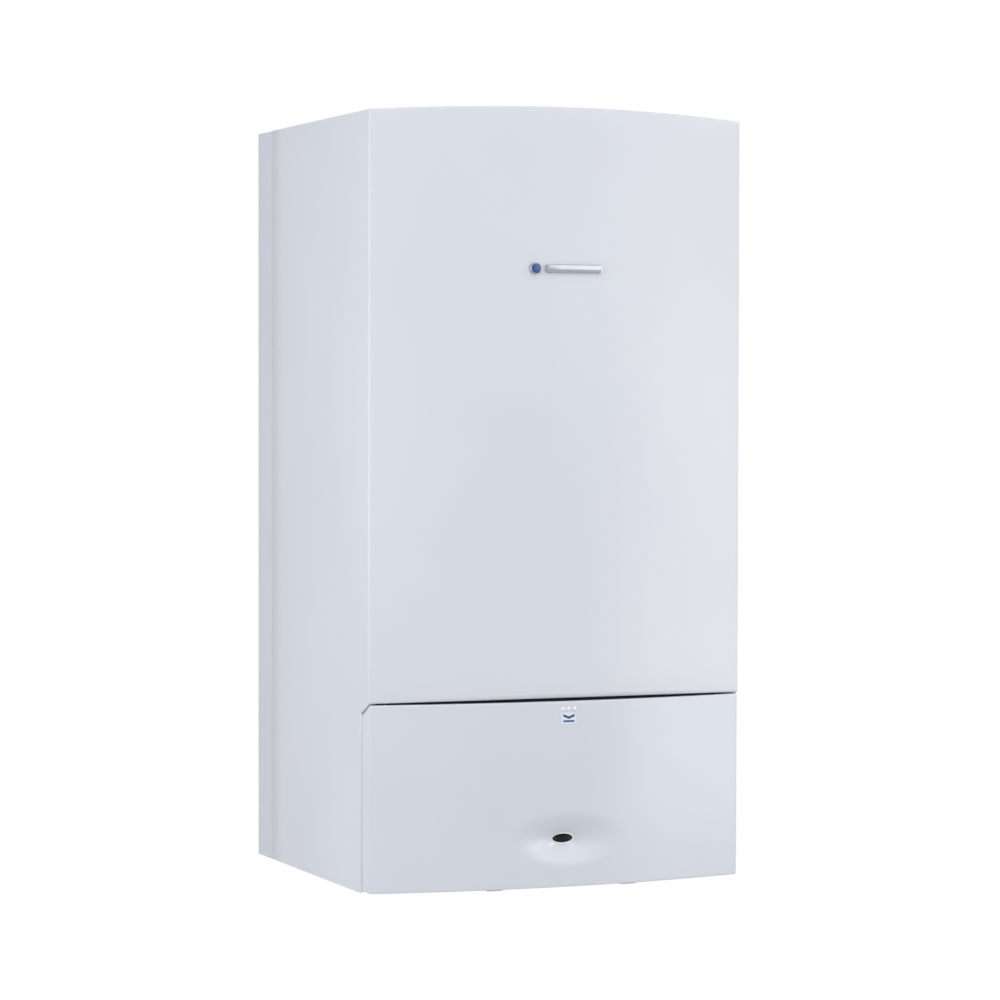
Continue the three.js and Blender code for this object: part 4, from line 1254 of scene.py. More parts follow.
    def build_sign(self) -> None:
        """A printed patch with a chevron over a bar, which says to push here."""
        x, z = self.sign_x, self.sign_z
        half_wide, half_tall, corner = 9.0, 6.0, 1.6
        patch = []
        for i in range(16):
            turn = math.pi * (i + 0.5) / 8
            c, s = math.cos(turn), math.sin(turn)
            u = math.copysign(half_wide - corner, c) + corner * c
            v = math.copysign(half_tall - corner, s) + corner * s
            patch.append((x + u, z + v))
        chevron = [(-6.6, 4.4), (0, 1.8), (6.6, 4.4), (6.6, 1.6), (0, -1.0), (-6.6, 1.6)]
        bar = [(-6.6, -2.4), (6.6, -2.4), (6.6, -4.4), (-6.6, -4.4)]
        y = self.curve.y_at(x)
        chevron, bar = ([(x + u, z + v) for u, v in shape] for shape in (chevron, bar))
        for name, outline, lift, ink, slot in (
            ("push_sign_patch", patch, 0.08, PALE_INK, "flap_plastic"),
            ("push_sign_chevron", chevron, 0.16, BLUE_INK, "badge_blue"),
            ("push_sign_bar", bar, 0.16, BLUE_INK, "badge_blue"),
        ):
            mesh = flat_mesh(name, outline, y - lift, thick=0.3)
            make_piece(name, mesh, FLAP, ink)

    def build_hinges(self) -> None:
        """The striker and the two pins between their cheeks, moulded on the inside."""
        y = self.curve.y_at(self.dot_x) + 1.5
        length, chamfer, radius = 10.0, 0.6, 5.0
        along = [(0, 0), (radius, 0), (radius, length - chamfer)]
        along += [(radius - chamfer, length), (0, length)]
        profile = [(r, a * (self.striker_end - y) / length) for r, a in along]
        start = placed(self.dot_x, y, self.striker_z)
        mesh = lathe_mesh("flap_striker", profile, start, Axis.Y, 32)
        make_piece("flap_striker", mesh, FLAP, FLAP_ABS)
        for side, name in ((-1, "flap_pin_left"), (1, "flap_pin_right")):
            middle = side * self.pin_x
            self.build_pin(name, middle)
            half, front, back, foot, top = 1.5, -396.5, -381, 2.6, 10.5  # of a cheek
            for edge, part in ((-1, "outer"), (1, "inner")):
                x = middle + edge * self.cheek_x
                low, high = (x - half, front, foot), (x + half, back, top)
                cheek = block_mesh(f"{name}_{part}", low, high, 0.6)
                make_piece(f"{name}_{part}", cheek, FLAP, FLAP_ABS)

    def build_pin(self, name: str, middle: float) -> None:
        """One hinge pin with chamfered ends.

        Args:
            name: Piece name.
            middle: x of its middle.
        """
        r, end = self.pin_radius, self.pin_length
        chamfer, lead = 0.2, 0.3
        profile = [(0, 0), (r - chamfer, 0), (r, lead)]
        profile += [(r, end - lead), (r - chamfer, end), (0, end)]
        start = placed(middle - end / 2, self.pin_y, self.pin_z)
        mesh = lathe_mesh(name, profile, start, Axis.X, 24)
        make_piece(name, mesh, FLAP, FLAP_ABS)


@dataclass
class Badge:
    """The plain nameplate: a round enamel tile and a chrome bar.

    Attributes:
        curve: Plan of the front that it sits on.
        z: Middle height.
        left: Left end of the tile.
        right: Right end of the bar.
        tile: Diameter of the tile.
        bar: Length of the bar.
        height: Height of the bar.
        thick: Thickness of the bar.
        gap: Film of glue under both.
        corner: Radius of the bar's ends.
    """

    curve: FrontCurve
    z: float = 675.0
    left: float = -43.6
    right: float = 41.4
    tile: float = 13.0
    bar: float = 67.0
    height: float = 9.0
    thick: float = 2.2
    gap: float = 0.3
    corner: float = 2.4

    def build(self) -> None:
        """Builds the tile with its chrome rim, and the bar."""
        x = self.left + self.tile / 2
        r = self.tile / 2
        centre = placed(x, self.curve.y_at(x) - self.gap, self.z)
        rim = [(0, 0), (r, 0), (r, -1.7), (r - 0.3, -2.1), (r - 0.9, -2.1), (r - 1.1, -1.6)]
        rim += [(0, -1.6)]
        mesh = lathe_mesh("badge_rim", rim, centre, Axis.Y, 64)
        # painted shade: the chrome's colour is darkened to stand in for dark reflections
        make_piece("badge_rim", mesh, BODY, CHROME_PLATE)
        face = r - 1.15
        enamel = [(0, -1.62), (face, -1.62), (face, -1.9), (face * 0.6, -2.1), (0, -2.16)]
        mesh = lathe_mesh("badge_enamel", enamel, centre, Axis.Y, 64)
        tile = make_piece("badge_enamel", mesh, BODY, BLUE_ENAMEL)
        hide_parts("badge_tile")
        bar = make_piece("badge_nameplate", self.bar_mesh(), BODY, CHROME_PLATE)
        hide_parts("badge_bar")

    def bar_mesh(self) -> bpy.types.Mesh:
        """The bar, bent to the curved front, with rounded ends and bevelled edges.

        Returns:
            A closed mesh.
        """
        builder = bmesh.new()
        half, start, end = self.height / 2, self.right - self.bar, self.right
        sections = []
        corner, lift = self.corner, self.thick
        ends = [0.0, 0.4, 1.2, corner]
        places = [start + e for e in ends]
        places += [start + corner + (self.bar - 2 * corner) * i / 20 for i in range(1, 20)]
        places += [end - e for e in reversed(ends)]
        for x in places:
            edge = min(x - start, end - x, corner)
            tall = half - corner + math.sqrt(max(corner**2 - (corner - edge) ** 2, 0.01))
            front = self.curve.y_at(x) - self.gap
            ring = [
                (front, -tall), (front - lift + 0.8, -tall), (front - lift + 0.2, -tall + 0.5),
                (front - lift, -tall + 1.2), (front - lift, 0.0), (front - lift, tall - 1.2),
                (front - lift + 0.2, tall - 0.5), (front - lift + 0.8, tall), (front, tall),
            ]
            sections.append([builder.verts.new(placed(x, y, self.z + z)) for y, z in ring])
        join_sections(builder, sections)
        return mesh_of(builder, "badge_nameplate")


# ----------------------------------------------------------------------------- controls


FACIA = 350.3  # wall to the facia's face


def print_plate(
    builder: bmesh.types.BMesh, outline: Outline, y: float = -FACIA, lift: float = 0.12
) -> None:
    """Adds a thin printed shape that faces the front.

    Args:
        builder: Mesh that takes it.
        outline: Corners in x and z, in millimetres.
        y: Face that it is printed on.
        lift: Thickness of the print.
    """
    root = 0.1  # how far the film reaches into the face, so that no gap shows
    add_plate(builder, outline, y - lift, lift + root)


def bar_outline(x: float, z: float, half_x: float, half_z: float) -> Outline:
    """The corners of an upright rectangle round a middle point."""
    corners = [(x - half_x, z - half_z), (x + half_x, z - half_z)]
    return corners + [(x + half_x, z + half_z), (x - half_x, z + half_z)]


def stroke_outline(
    x: float, z: float, turn: float, inner: float, outer: float, half: float
) -> Outline:
    """The corners of a tick that points away from a middle point.

    Args:
        x: Middle point across.
        z: Middle point's height.
        turn: Direction of the tick in radians.
        inner: Distance of its near end.
        outer: Distance of its far end.
        half: Half its width.

    Returns:
        Four corners in order.
    """
    c, s = math.cos(turn), math.sin(turn)
    spots = [(inner, -half), (outer, -half), (outer, half), (inner, half)]
    return [(x + r * c - w * s, z + r * s + w * c) for r, w in spots]


class Sign(Enum):
    """What a knob sets, printed under it."""

    HEATING = "three bars over a line"
    WATER = "a drop"


@dataclass
class Knob:
    """A ribbed control knob with a pointer line and a scale on the facia.

    Attributes:
        name: Node that it stands in for.
        body: Body that carries it.
        x: Middle across.
        sign: Sign under the scale.
        z: Middle height.
        radius: Radius of its skirt.
        height: Height above the facia.
        ribs: Ribs round the grip.
        seat: Gap between skirt and facia.
        sweep: Angle from the low stop to the high one, in degrees.
        marks: Ticks of the scale.
        sign_drop: Distance from its middle down to the sign.
    """

    name: str
    body: str
    x: float
    sign: Sign
    z: float = 104.0
    radius: float = 21.0
    height: float = 17.0
    ribs: int = 36
    seat: float = 0.3
    sweep: float = 270.0
    marks: int = 11
    sign_drop: float = 34.0

    def build(self) -> None:
        """Builds the knob, its pointer and the printed scale round it."""
        centre = placed(self.x, -FACIA - self.seat, self.z)
        skirt, grip, tall = self.radius, self.radius - 2.0, self.height
        shaft, sunk = 3.0, 11.0
        profile = [(0, sunk), (shaft, sunk), (shaft, 0), (skirt - 1, 0), (skirt, -0.8)]
        profile += [(skirt, -2.4), (skirt - 0.6, -3), (grip, -3.4), (grip - 1.6, -tall + 1.4)]
        profile += [(grip - 2.4, -tall + 0.4), (grip - 3.4, -tall), (grip - 6.0, -tall + 0.5)]
        profile += [(0, -tall + 0.7)]
        mesh = lathe_mesh(self.name + "_cap", profile, centre, Axis.Y, self.ribs * 6)
        self.press_ribs(mesh, centre, grip)
        cap = make_piece(self.name + "_cap", mesh, self.body, KNOB_ABS, 50)
        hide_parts(self.name)
        top = FACIA + self.seat + self.height - 0.6
        half, reach = 0.9, (5, grip - 4.2)
        low = (self.x - half, -top - 0.5, self.z + reach[0])
        high = (self.x + half, -top + 1, self.z + reach[1])
        pointer = block_mesh(self.name + "_pointer", low, high, 0.2)
        make_piece(self.name + "_pointer", pointer, self.body, BLUE_INK)
        self.build_scale()

    def press_ribs(self, mesh: bpy.types.Mesh, centre: Vector, grip: float) -> None:
        """Presses grooves into the grip.

        Args:
            mesh: The turned knob.
            centre: Where its axis meets its seat.
            grip: Radius of the grip at its foot.
        """
        deep, rim, foot = 0.35, grip - 2.5, -3.2 * MM
        for vertex in mesh.vertices:
            spoke = vertex.co - centre
            radius = math.hypot(spoke.x, spoke.z) / MM
            if radius > rim and spoke.y < foot:
                turn = math.atan2(spoke.z, spoke.x) * self.ribs
                shrink = 1 - deep * (0.5 - 0.5 * math.cos(turn)) / radius
                vertex.co = centre + Vector((spoke.x * shrink, spoke.y, spoke.z * shrink))

    def build_scale(self) -> None:
        """Prints ticks from the low stop to the high stop, and a sign under the knob."""
        builder = bmesh.new()
        step = self.sweep / (self.marks - 1)
        inner = self.radius + 3
        for i in range(self.marks):
            turn = math.radians(90 + self.sweep / 2 - step * i)
            length, half = (3.5, 0.5) if i % 5 == 0 else (1.8, 0.3)
            tick = stroke_outline(self.x, self.z, turn, inner, inner + length, half)
            print_plate(builder, tick)
        z = self.z - self.sign_drop
        if self.sign is Sign.HEATING:
            for i in (-1, 0, 1):
                print_plate(builder, bar_outline(self.x + 3 * i, z, 0.8, 3.4))
            print_plate(builder, bar_outline(self.x, z - 3.6, 4.6, 0.5))
        else:
            drop = [(0, 4.4), (1.6, 1.6), (2.6, -0.6), (2.2, -2.4), (0.9, -3.4)]
            drop += [(-u, v) for u, v in reversed(drop[1:])]
            print_plate(builder, [(self.x + u, z + v) for u, v in drop])
        scale = mesh_of(builder, self.name + "_scale")
        make_piece(self.name + "_scale", scale, CONTROL, DARK_INK)


@dataclass
class ControlPanel:
    """What shows when the flap is down: knobs, buttons, display, gauge and lamp.

    Attributes:
        row_z: Height of the knobs and of the gauge.
        heating_x: Heating knob across.
        water_x: Hot water knob across.
        button_x: First button across.
        button_z: Height of the buttons.
        button_pitch: Step between the buttons.
        gauge_x: Gauge across.
        gauge_radius: Radius of the gauge's case.
        gauge_sweep: Angle of its scale, in degrees.
        dial_sunk: Facia to the dial's face.
        display_x: Middle of the display across.
        display_z: Middle height of the display.
        figure_pitch: Step between the display's figures.
        switch_x: Power switch across.
        mark_on: Middle height of the switch's upper mark.
        mark_off: Middle height of its lower mark.
    """

    row_z: float = 104.0
    heating_x: float = -118.0
    water_x: float = -58.0
    button_x: float = -10.0
    button_z: float = 86.0
    button_pitch: float = 16.0
    gauge_x: float = 112.0
    gauge_radius: float = 25.0
    gauge_sweep: float = 240.0
    dial_sunk: float = 4.35
    display_x: float = 14.0
    display_z: float = 120.0
    figure_pitch: float = 12.0
    switch_x: float = -170.0
    mark_on: float = 126.0
    mark_off: float = 82.0

    def build(self) -> None:
        """Builds everything on the facia."""
        Knob("knob_heating", "heating_knob", self.heating_x, Sign.HEATING, self.row_z).build()
        Knob("knob_water", "water_knob", self.water_x, Sign.WATER, self.row_z).build()
        for i in range(4):
            self.build_button(i)
        self.build_gauge()
        self.build_display()
        self.build_switch_marks()

    def build_button(self, i: int) -> None:
        """Builds one round push button with a dished top.

        Args:
            i: Its number from the left, from 0.
        """
        centre = placed(self.button_x + self.button_pitch * i, -FACIA, self.button_z)
        flange, sunk, stem = 6.4, 4.9, 4.8
        profile = [(0, sunk), (flange, sunk), (flange, 3.3), (stem, 3.3), (stem, -1.9)]
        profile += [(4.6, -2.4), (4.0, -2.6), (3.2, -2.4), (0, -2.1)]
        name = f"button_{i + 1}"
        mesh = lathe_mesh(name + "_cap", profile, centre, Axis.Y, 48)
        cap = make_piece(name + "_cap", mesh, f"push_{i + 1}", KNOB_ABS, 50)
        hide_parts(name)

    def build_gauge(self) -> None:
        """The pressure gauge: rounded case, printed dial and a hub under the needle."""
        centre = placed(self.gauge_x, -FACIA, self.row_z)
        r, hub = self.gauge_radius, 1.4
        profile = [(0, 17), (r - 0.6, 17), (r, 16.4), (r, -0.3), (r + 2.6, -0.3), (r + 3, -0.8)]
        profile += [(r + 2.8, -2.3), (r + 1.8, -3.0), (r - 1.2, -3.0), (r - 1.8, -2.6)]
        profile += [(r - 2.2, -1.2), (r - 2.2, 4.8), (hub, 4.8), (hub, 8.5), (0, 8.5)]
        case = lathe_mesh("gauge_bezel", profile, centre, Axis.Y, 96)
        bezel = make_piece("gauge_bezel", case, CONTROL, BLACK_NYLON, 40)
        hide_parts("gauge_case")
        inner, outer, face, back = 1.5, r - 2.3, self.dial_sunk, 4.75
        dial = [(inner, back), (outer, back), (outer, face), (inner, face), (inner, back)]
        mesh = lathe_mesh("gauge_dial", dial, centre, Axis.Y, 96)
        make_piece("gauge_dial", mesh, CONTROL, DIAL_WHITE)
        builder = bmesh.new()
        marks = 21
        for i in range(marks):
            turn = math.radians(90 + self.gauge_sweep / 2 - self.gauge_sweep / (marks - 1) * i)
            start, half = (r - 7.5, 0.4) if i % 5 == 0 else (r - 5.6, 0.22)
            tick = stroke_outline(self.gauge_x, self.row_z, turn, start, r - 3.6, half)
            print_plate(builder, tick, -FACIA + self.dial_sunk)
        make_piece("gauge_ticks", mesh_of(builder, "gauge_ticks"), CONTROL, DARK_INK)

    def build_display(self) -> None:
        """Seven-segment figures behind the smoked window, which show 60."""
        builder = bmesh.new()
        half_wide, half_tall = 3, 6
        upper, lower = half_tall / 2, -half_tall / 2
        level = {"a": half_tall, "g": 0, "d": -half_tall}
        upright = {
            "f": (-half_wide, upper), "b": (half_wide, upper),
            "e": (-half_wide, lower), "c": (half_wide, lower),
        }
        length, thin, sunk = 2.3, 0.6, 0.8
        for side, segments in ((-0.5, "acdefg"), (0.5, "abcdef")):
            middle = self.display_x + side * self.figure_pitch
            for key in segments:
                if key in level:
                    bar = bar_outline(middle, self.display_z + level[key], length, thin)
                else:
                    x, z = upright[key]
                    bar = bar_outline(middle + x, self.display_z + z, thin, length)
                print_plate(builder, bar, -FACIA - sunk)
        mesh = mesh_of(builder, "display_figures")
        make_piece("display_figures", mesh, CONTROL, DIAL_WHITE)

    def build_switch_marks(self) -> None:
        """A bar and a ring printed above and below the power switch."""
        builder = bmesh.new()
        print_plate(builder, bar_outline(self.switch_x, self.mark_on, 0.5, 3))
        outer, inner, parts = 3.2, 2.4, 24
        for i in range(parts):
            start, end = 2 * math.pi * i / parts, 2 * math.pi * (i + 1) / parts
            ring = []
            for r, turn in ((outer, start), (outer, end), (inner, end), (inner, start)):
                x, z = r * math.cos(turn), r * math.sin(turn)
                ring.append((self.switch_x + x, self.mark_off + z))
            print_plate(builder, ring)
        mesh = mesh_of(builder, "switch_marks")
        make_piece("switch_marks", mesh, CONTROL, DARK_INK)


# ----------------------------------------------------------------------------- pipework


@dataclass
class PipeRun:
    """A drawn tube along straight runs with a bend at each corner.

    Attributes:
        node: Solid that it stands in for.
        points: Ends and corners in millimetres.
        radius: Outside radius.
        bend: Distance from a corner to where its bend starts.
        bore: Inside radius of the open first end, or 0 for a closed one.
        nut: Height of a hexagon nut's lower face above the casing's lower edge, or 0.
        wave: Depth of the rings of a corrugated hose.
        finish: What it is made of.
        slot: The record's material slot; not used.
        facets: Faces round the tube.
        bore_depth: How far an open end is hollow.
        lip: Chamfer of an open end.
        ring_step: Distance between the points of a corrugated hose.
    """

    node: str
    points: list[Point]
    radius: float
    bend: float = 28.0
    bore: float = 0.0
    nut: float = 0.0
    wave: float = 0.0
    finish: Finish = COPPER
    slot: str = "copper_pipe"
    facets: int = 32
    bore_depth: float = 20.0
    lip: float = 0.4
    ring_step: float = 1.5

    def path(self) -> list[Vector]:
        """The centre line, with its bends.

        Returns:
            Points in metres, close together on a corrugated hose.
        """
        share, steps = 0.48, 12
        corners = [placed(*p) for p in self.points]
        line = [corners[0]]
        for before, corner, after in zip(corners, corners[1:], corners[2:]):
            back, ahead = before - corner, after - corner
            reach = min(self.bend * MM, back.length * share, ahead.length * share)
            start = corner + back.normalized() * reach
            end = corner + ahead.normalized() * reach
            for i in range(steps + 1):
                t = i / steps
                line.append(start * (1 - t) ** 2 + corner * (2 * t * (1 - t)) + end * t**2)
        line.append(corners[-1])
        if not self.wave:
            return line
        dense = [line[0]]
        for near, far in zip(line, line[1:]):
            count = max(1, round((far - near).length / (self.ring_step * MM)))
            dense += [near.lerp(far, (i + 1) / count) for i in range(count)]
        return dense

    def rings(self) -> list[tuple[Vector, Vector, float]]:
        """The rings of the tube, closed at both ends.

        Returns:
            Middle, direction and radius of each ring.
        """
        line = self.path()
        rings = []
        for i, spot in enumerate(line):
            ahead = line[min(i + 1, len(line) - 1)] - line[max(i - 1, 0)]
            deep = self.wave if i % 2 else 0.0
            rings.append((spot, ahead.normalized(), self.radius - deep))
        first, ahead, outer = rings[0]
        if self.bore:
            depth, lip = ahead * self.bore_depth * MM, ahead * self.lip * MM
            lead = [(first + depth, ahead, 0.0), (first + depth, ahead, self.bore)]
            lead += [(first + lip, ahead, self.bore), (first, ahead, (self.bore + outer) / 2)]
            rings = lead + [(first + lip, ahead, outer)] + rings[1:]
        else:
            rings.insert(0, (first, ahead, 0.0))
        return rings + [(rings[-1][0], rings[-1][1], 0.0)]

    def build(self) -> None:
        """Sweeps the tube and adds its nut."""
        rings = self.rings()
        builder = bmesh.new()
        side = rings[0][1].orthogonal().normalized()
        loops = []
        for spot, ahead, radius in rings:
            side = (side - ahead * side.dot(ahead)).normalized()
            other = ahead.cross(side)
            loop = []
            for i in range(self.facets if radius else 1):
                turn = 2 * math.pi * i / self.facets
                spoke = side * math.cos(turn) + other * math.sin(turn)
                loop.append(builder.verts.new(spot + spoke * radius * MM))
            loops.append(loop)
        join_loops(builder, loops, self.facets)
        name = self.node + "_tube"
        tube = make_piece(name, mesh_of(builder, name), BODY, self.finish, 50)
        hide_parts(self.node)
        if self.nut:
            self.build_nut()

    def build_nut(self) -> None:
        """A chamfered hexagon nut round the first run."""
        x, y, _ = self.points[0]
        inner, outer, chamfer = self.radius, self.radius + 4, 1.2
        low, high = 0.4, 9.6
        profile = [(inner, low), (outer - chamfer, low), (outer, low + chamfer)]
        profile += [(outer, high - chamfer), (outer - chamfer, high), (inner, high), (inner, low)]
        mesh = lathe_mesh(self.node + "_nut", profile, placed(x, y, self.nut), Axis.Z, 6)
        make_piece(self.node + "_nut", mesh, BODY, BRASS, 20)


def water_pipes() -> list[PipeRun]:
    """The route of every pipe and hose of the boiler.

    Returns:
        The runs, in the order in which they are built.
    """
    row, low, nut = -150.0, 6.0, 14.3
    wide = {"radius": 11.0, "bore": 9.5, "nut": nut}
    slim = {"radius": 7.5, "bore": 6.0, "nut": nut, "bend": 22.0}
    swan = [(-65, row, low), (-65, row, 55), (-65, -91, 71), (-65, -91, 94.7)]
    return [
        PipeRun("flow_stub", [(-130, row, low), (-130, row, 94.7)], **wide),
        PipeRun("hot_stub", swan, **slim),
        PipeRun("cold_stub", [(-x, y, z) for x, y, z in swan], **slim),
        PipeRun("return_stub", [(130, row, low), (130, row, 84.7)], **wide),
        PipeRun(
            "gas_stub",
            [(0, row, low), (0, row, 240), (0, -300, 240), (130, -300, 240), (130, -300, 329.7)],
            **wide,
        ),
        PipeRun(
            "gas_pipe_upper",
            [(130, -300, 400.3), (130, -300, 555), (135, -362, 605), (135, -362, 670.7)],
            radius=8.0,
        ),
        PipeRun(
            "flow_pipe",
            [(-118.3, -250, 540), (-160, -250, 540), (-160, -250, 300), (-130, row, 270),
             (-130, row, 185.3)],
            radius=9.0,
            bend=24.0,
        ),
        PipeRun(
            "return_pipe",
            [(130, row, 207.3), (130, row, 400), (150, -250, 440), (150, -250, 580),
             (118.3, -250, 580)],
            radius=9.0,
            bend=24.0,
        ),
        PipeRun(
            "condensate_hose",
            [(0, -250, 447.7), (0, -250, 390), (-87.5, -225, 310), (-175, -200, 230),
             (-175, -200, 140.3)],
            radius=7.0,
            bend=40.0,
            wave=0.7,
            finish=GREY_POLYPROPYLENE,
            slot="hose_grey",
        ),
    ]


@dataclass
class FlueSocket:
    """The round socket on top: a screwed ring, an outer collar and an inner sleeve.

    Attributes:
        y: Distance of its middle in front of the wall, as a y.
        seat: Height that its ring rests on.
        rise: Height of collar and sleeve over the seat.
        collar: Outside radius of the collar.
        collar_wall: Wall of the collar.
        collar_drop: How far the collar reaches below the seat.
        ring: Radius of the screwed ring.
        ring_thick: Thickness of that ring.
        sleeve: Outside radius of the sleeve.
        bore: Inside radius of the sleeve.
        sleeve_drop: How far the sleeve reaches below the seat.
        spoke_x: Distance of the spokes from the middle.
        screw_circle: Radius of the circle of screws.
    """

    y: float = -150.0
    seat: float = 841.5
    rise: float = 5.0
    collar: float = 50.0
    collar_wall: float = 2.0
    collar_drop: float = 26.0
    ring: float = 65.0
    ring_thick: float = 2.5
    sleeve: float = 34.0
    bore: float = 30.0
    sleeve_drop: float = 42.0
    spoke_x: float = 41.0
    screw_circle: float = 58.0

    def profiles(self) -> tuple[Outline, Outline]:
        """The sections of collar and sleeve, with softened corners.

        Returns:
            Closed outlines in radius and height over the seat.
        """
        out, hole, soft = self.collar, self.collar - self.collar_wall, 0.6
        foot, top, ring, thick = -self.collar_drop, self.rise, self.ring, self.ring_thick
        collar = [(hole, foot), (out - soft, foot), (out, foot + soft), (out, -0.4)]
        collar += [(out + 0.2, 0), (ring - soft, 0), (ring, soft), (ring, thick - soft)]
        collar += [(ring - soft, thick), (out + 1, thick), (out + 0.2, thick + 0.5)]
        collar += [(out, top - soft), (out - soft, top), (hole + soft, top), (hole, top - soft)]
        collar += [(hole, foot)]
        out, hole, foot = self.sleeve, self.bore, -self.sleeve_drop
        sleeve = [(hole, foot), (out - 0.4, foot), (out, foot + 0.4), (out, top - 0.5)]
        sleeve += [(out - 0.5, top), (hole + 0.5, top), (hole, top - 0.5), (hole, foot)]
        return collar, sleeve

    def build(self) -> None:
        """Builds the socket as one moulding, with four spokes between collar and sleeve."""
        centre = placed(0, self.y, self.seat)
        builder = bmesh.new()
        parts = [lathe_mesh("socket_part", p, centre, Axis.Z, 96) for p in self.profiles()]
        long, thin, low, high = 9, 2, self.seat - 24, self.seat - 14
        for across, along in ((1, 0), (0, 1), (-1, 0), (0, -1)):
            x, y = self.spoke_x * across, self.spoke_x * along + self.y
            half_x, half_y = (long, thin) if across else (thin, long)
            near, far = (x - half_x, y - half_y, low), (x + half_x, y + half_y, high)
            parts.append(block_mesh("spoke", near, far, 0.5))
        for part in parts:
            builder.from_mesh(part)
            bpy.data.meshes.remove(part)
        mesh = mesh_of(builder, "flue_socket_moulding")
        piece = make_piece("flue_socket_moulding", mesh, BODY, BLACK_NYLON, 40)
        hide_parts("flue_socket")
        self.build_screws()

    def build_screws(self) -> None:
        """Four pan-head screws through the ring."""
        head = [(0, 0), (3.2, 0), (3.2, 0.8), (2.4, 1.8), (1.2, 2.2), (1.2, 1.2), (0, 1.2)]
        for i in range(4):
            turn = math.pi / 4 + i * math.pi / 2
            x, y = self.screw_circle * math.cos(turn), self.screw_circle * math.sin(turn) + self.y
            name = f"flue_screw_{i + 1}"
            start = placed(x, y, self.seat + self.ring_thick)
            mesh = lathe_mesh(name, head, start, Axis.Z, 24)
            make_piece(name, mesh, BODY, GALVANISED, 40)


# ----------------------------------------------------------------------------- solids kept


@dataclass
class KeptSolids:
    """The solids of the model that show as they are, with a finish and softened edges.

    Attributes:
        edge: Width of the softened edges.
        sharp_angle: Angle in degrees above which an edge stays sharp in the shading.
        soft_angle: Angle in degrees above which an edge is softened.
        finishes: The finish of each material slot.
    """

    edge: float = 0.4
    sharp_angle: float = 38.0
    soft_angle: float = 40.0
    finishes: dict[str, Finish] = field(
        default_factory=lambda: {
            "casing_enamel": CASING_ENAMEL,
            # the chassis finish is greyer and bluer than the casing's: painted shade on the rear
            # strip
            "chassis_enamel": CHASSIS_ENAMEL_PAINTED_SHADE,
            "flap_plastic": FLAP_ABS,
            "badge_blue": BLUE_ENAMEL,
            "chrome_trim": CHROME_PLATE,
            "galvanised": GALVANISED,
            "dark_plastic": BLACK_NYLON,
            "cast_aluminium": CAST_ALUMINIUM,
            "board_green": SOLDER_MASK,
            "facia_grey": GREY_ABS,
            "display_glass": SMOKED_ACRYLIC,
            "lamp_plastic": GREEN_ACRYLIC,
            "knob_white": KNOB_ABS,
            "needle_red": RED_ACETAL,
            "stainless": STAINLESS,
            "electrode_white": GLAZED_ALUMINA,
            "copper_pipe": COPPER,
            "brass_body": BRASS,
            "vessel_red": RED_ENAMEL,
            "hose_grey": GREY_POLYPROPYLENE,
            "knob_red": RED_ACETAL,
        }
    )

    def build(self) -> None:
        """Gives every solid the finish of its slot and a small bevel."""
        for part in frame["record"]["subparts"]:
            node = frame["nodes"][part["node"]]
            finish = self.finishes[part["material_slot"]]
            node.data.materials.clear()
            node.data.materials.append(finish.material())
            node.data.shade_smooth()
            node.data.set_sharp_from_angle(angle=math.radians(self.sharp_angle))
            soft = node.modifiers.new("softened_edges", "BEVEL")
            soft.width = self.edge * MM
            soft.segments = 2
            soft.limit_method = "ANGLE"
            soft.angle_limit = math.radians(self.soft_angle)
            soft.harden_normals = True
            log.info("%s keeps its solid, %s", part["node"], finish.name)


# ----------------------------------------------------------------------------- studio


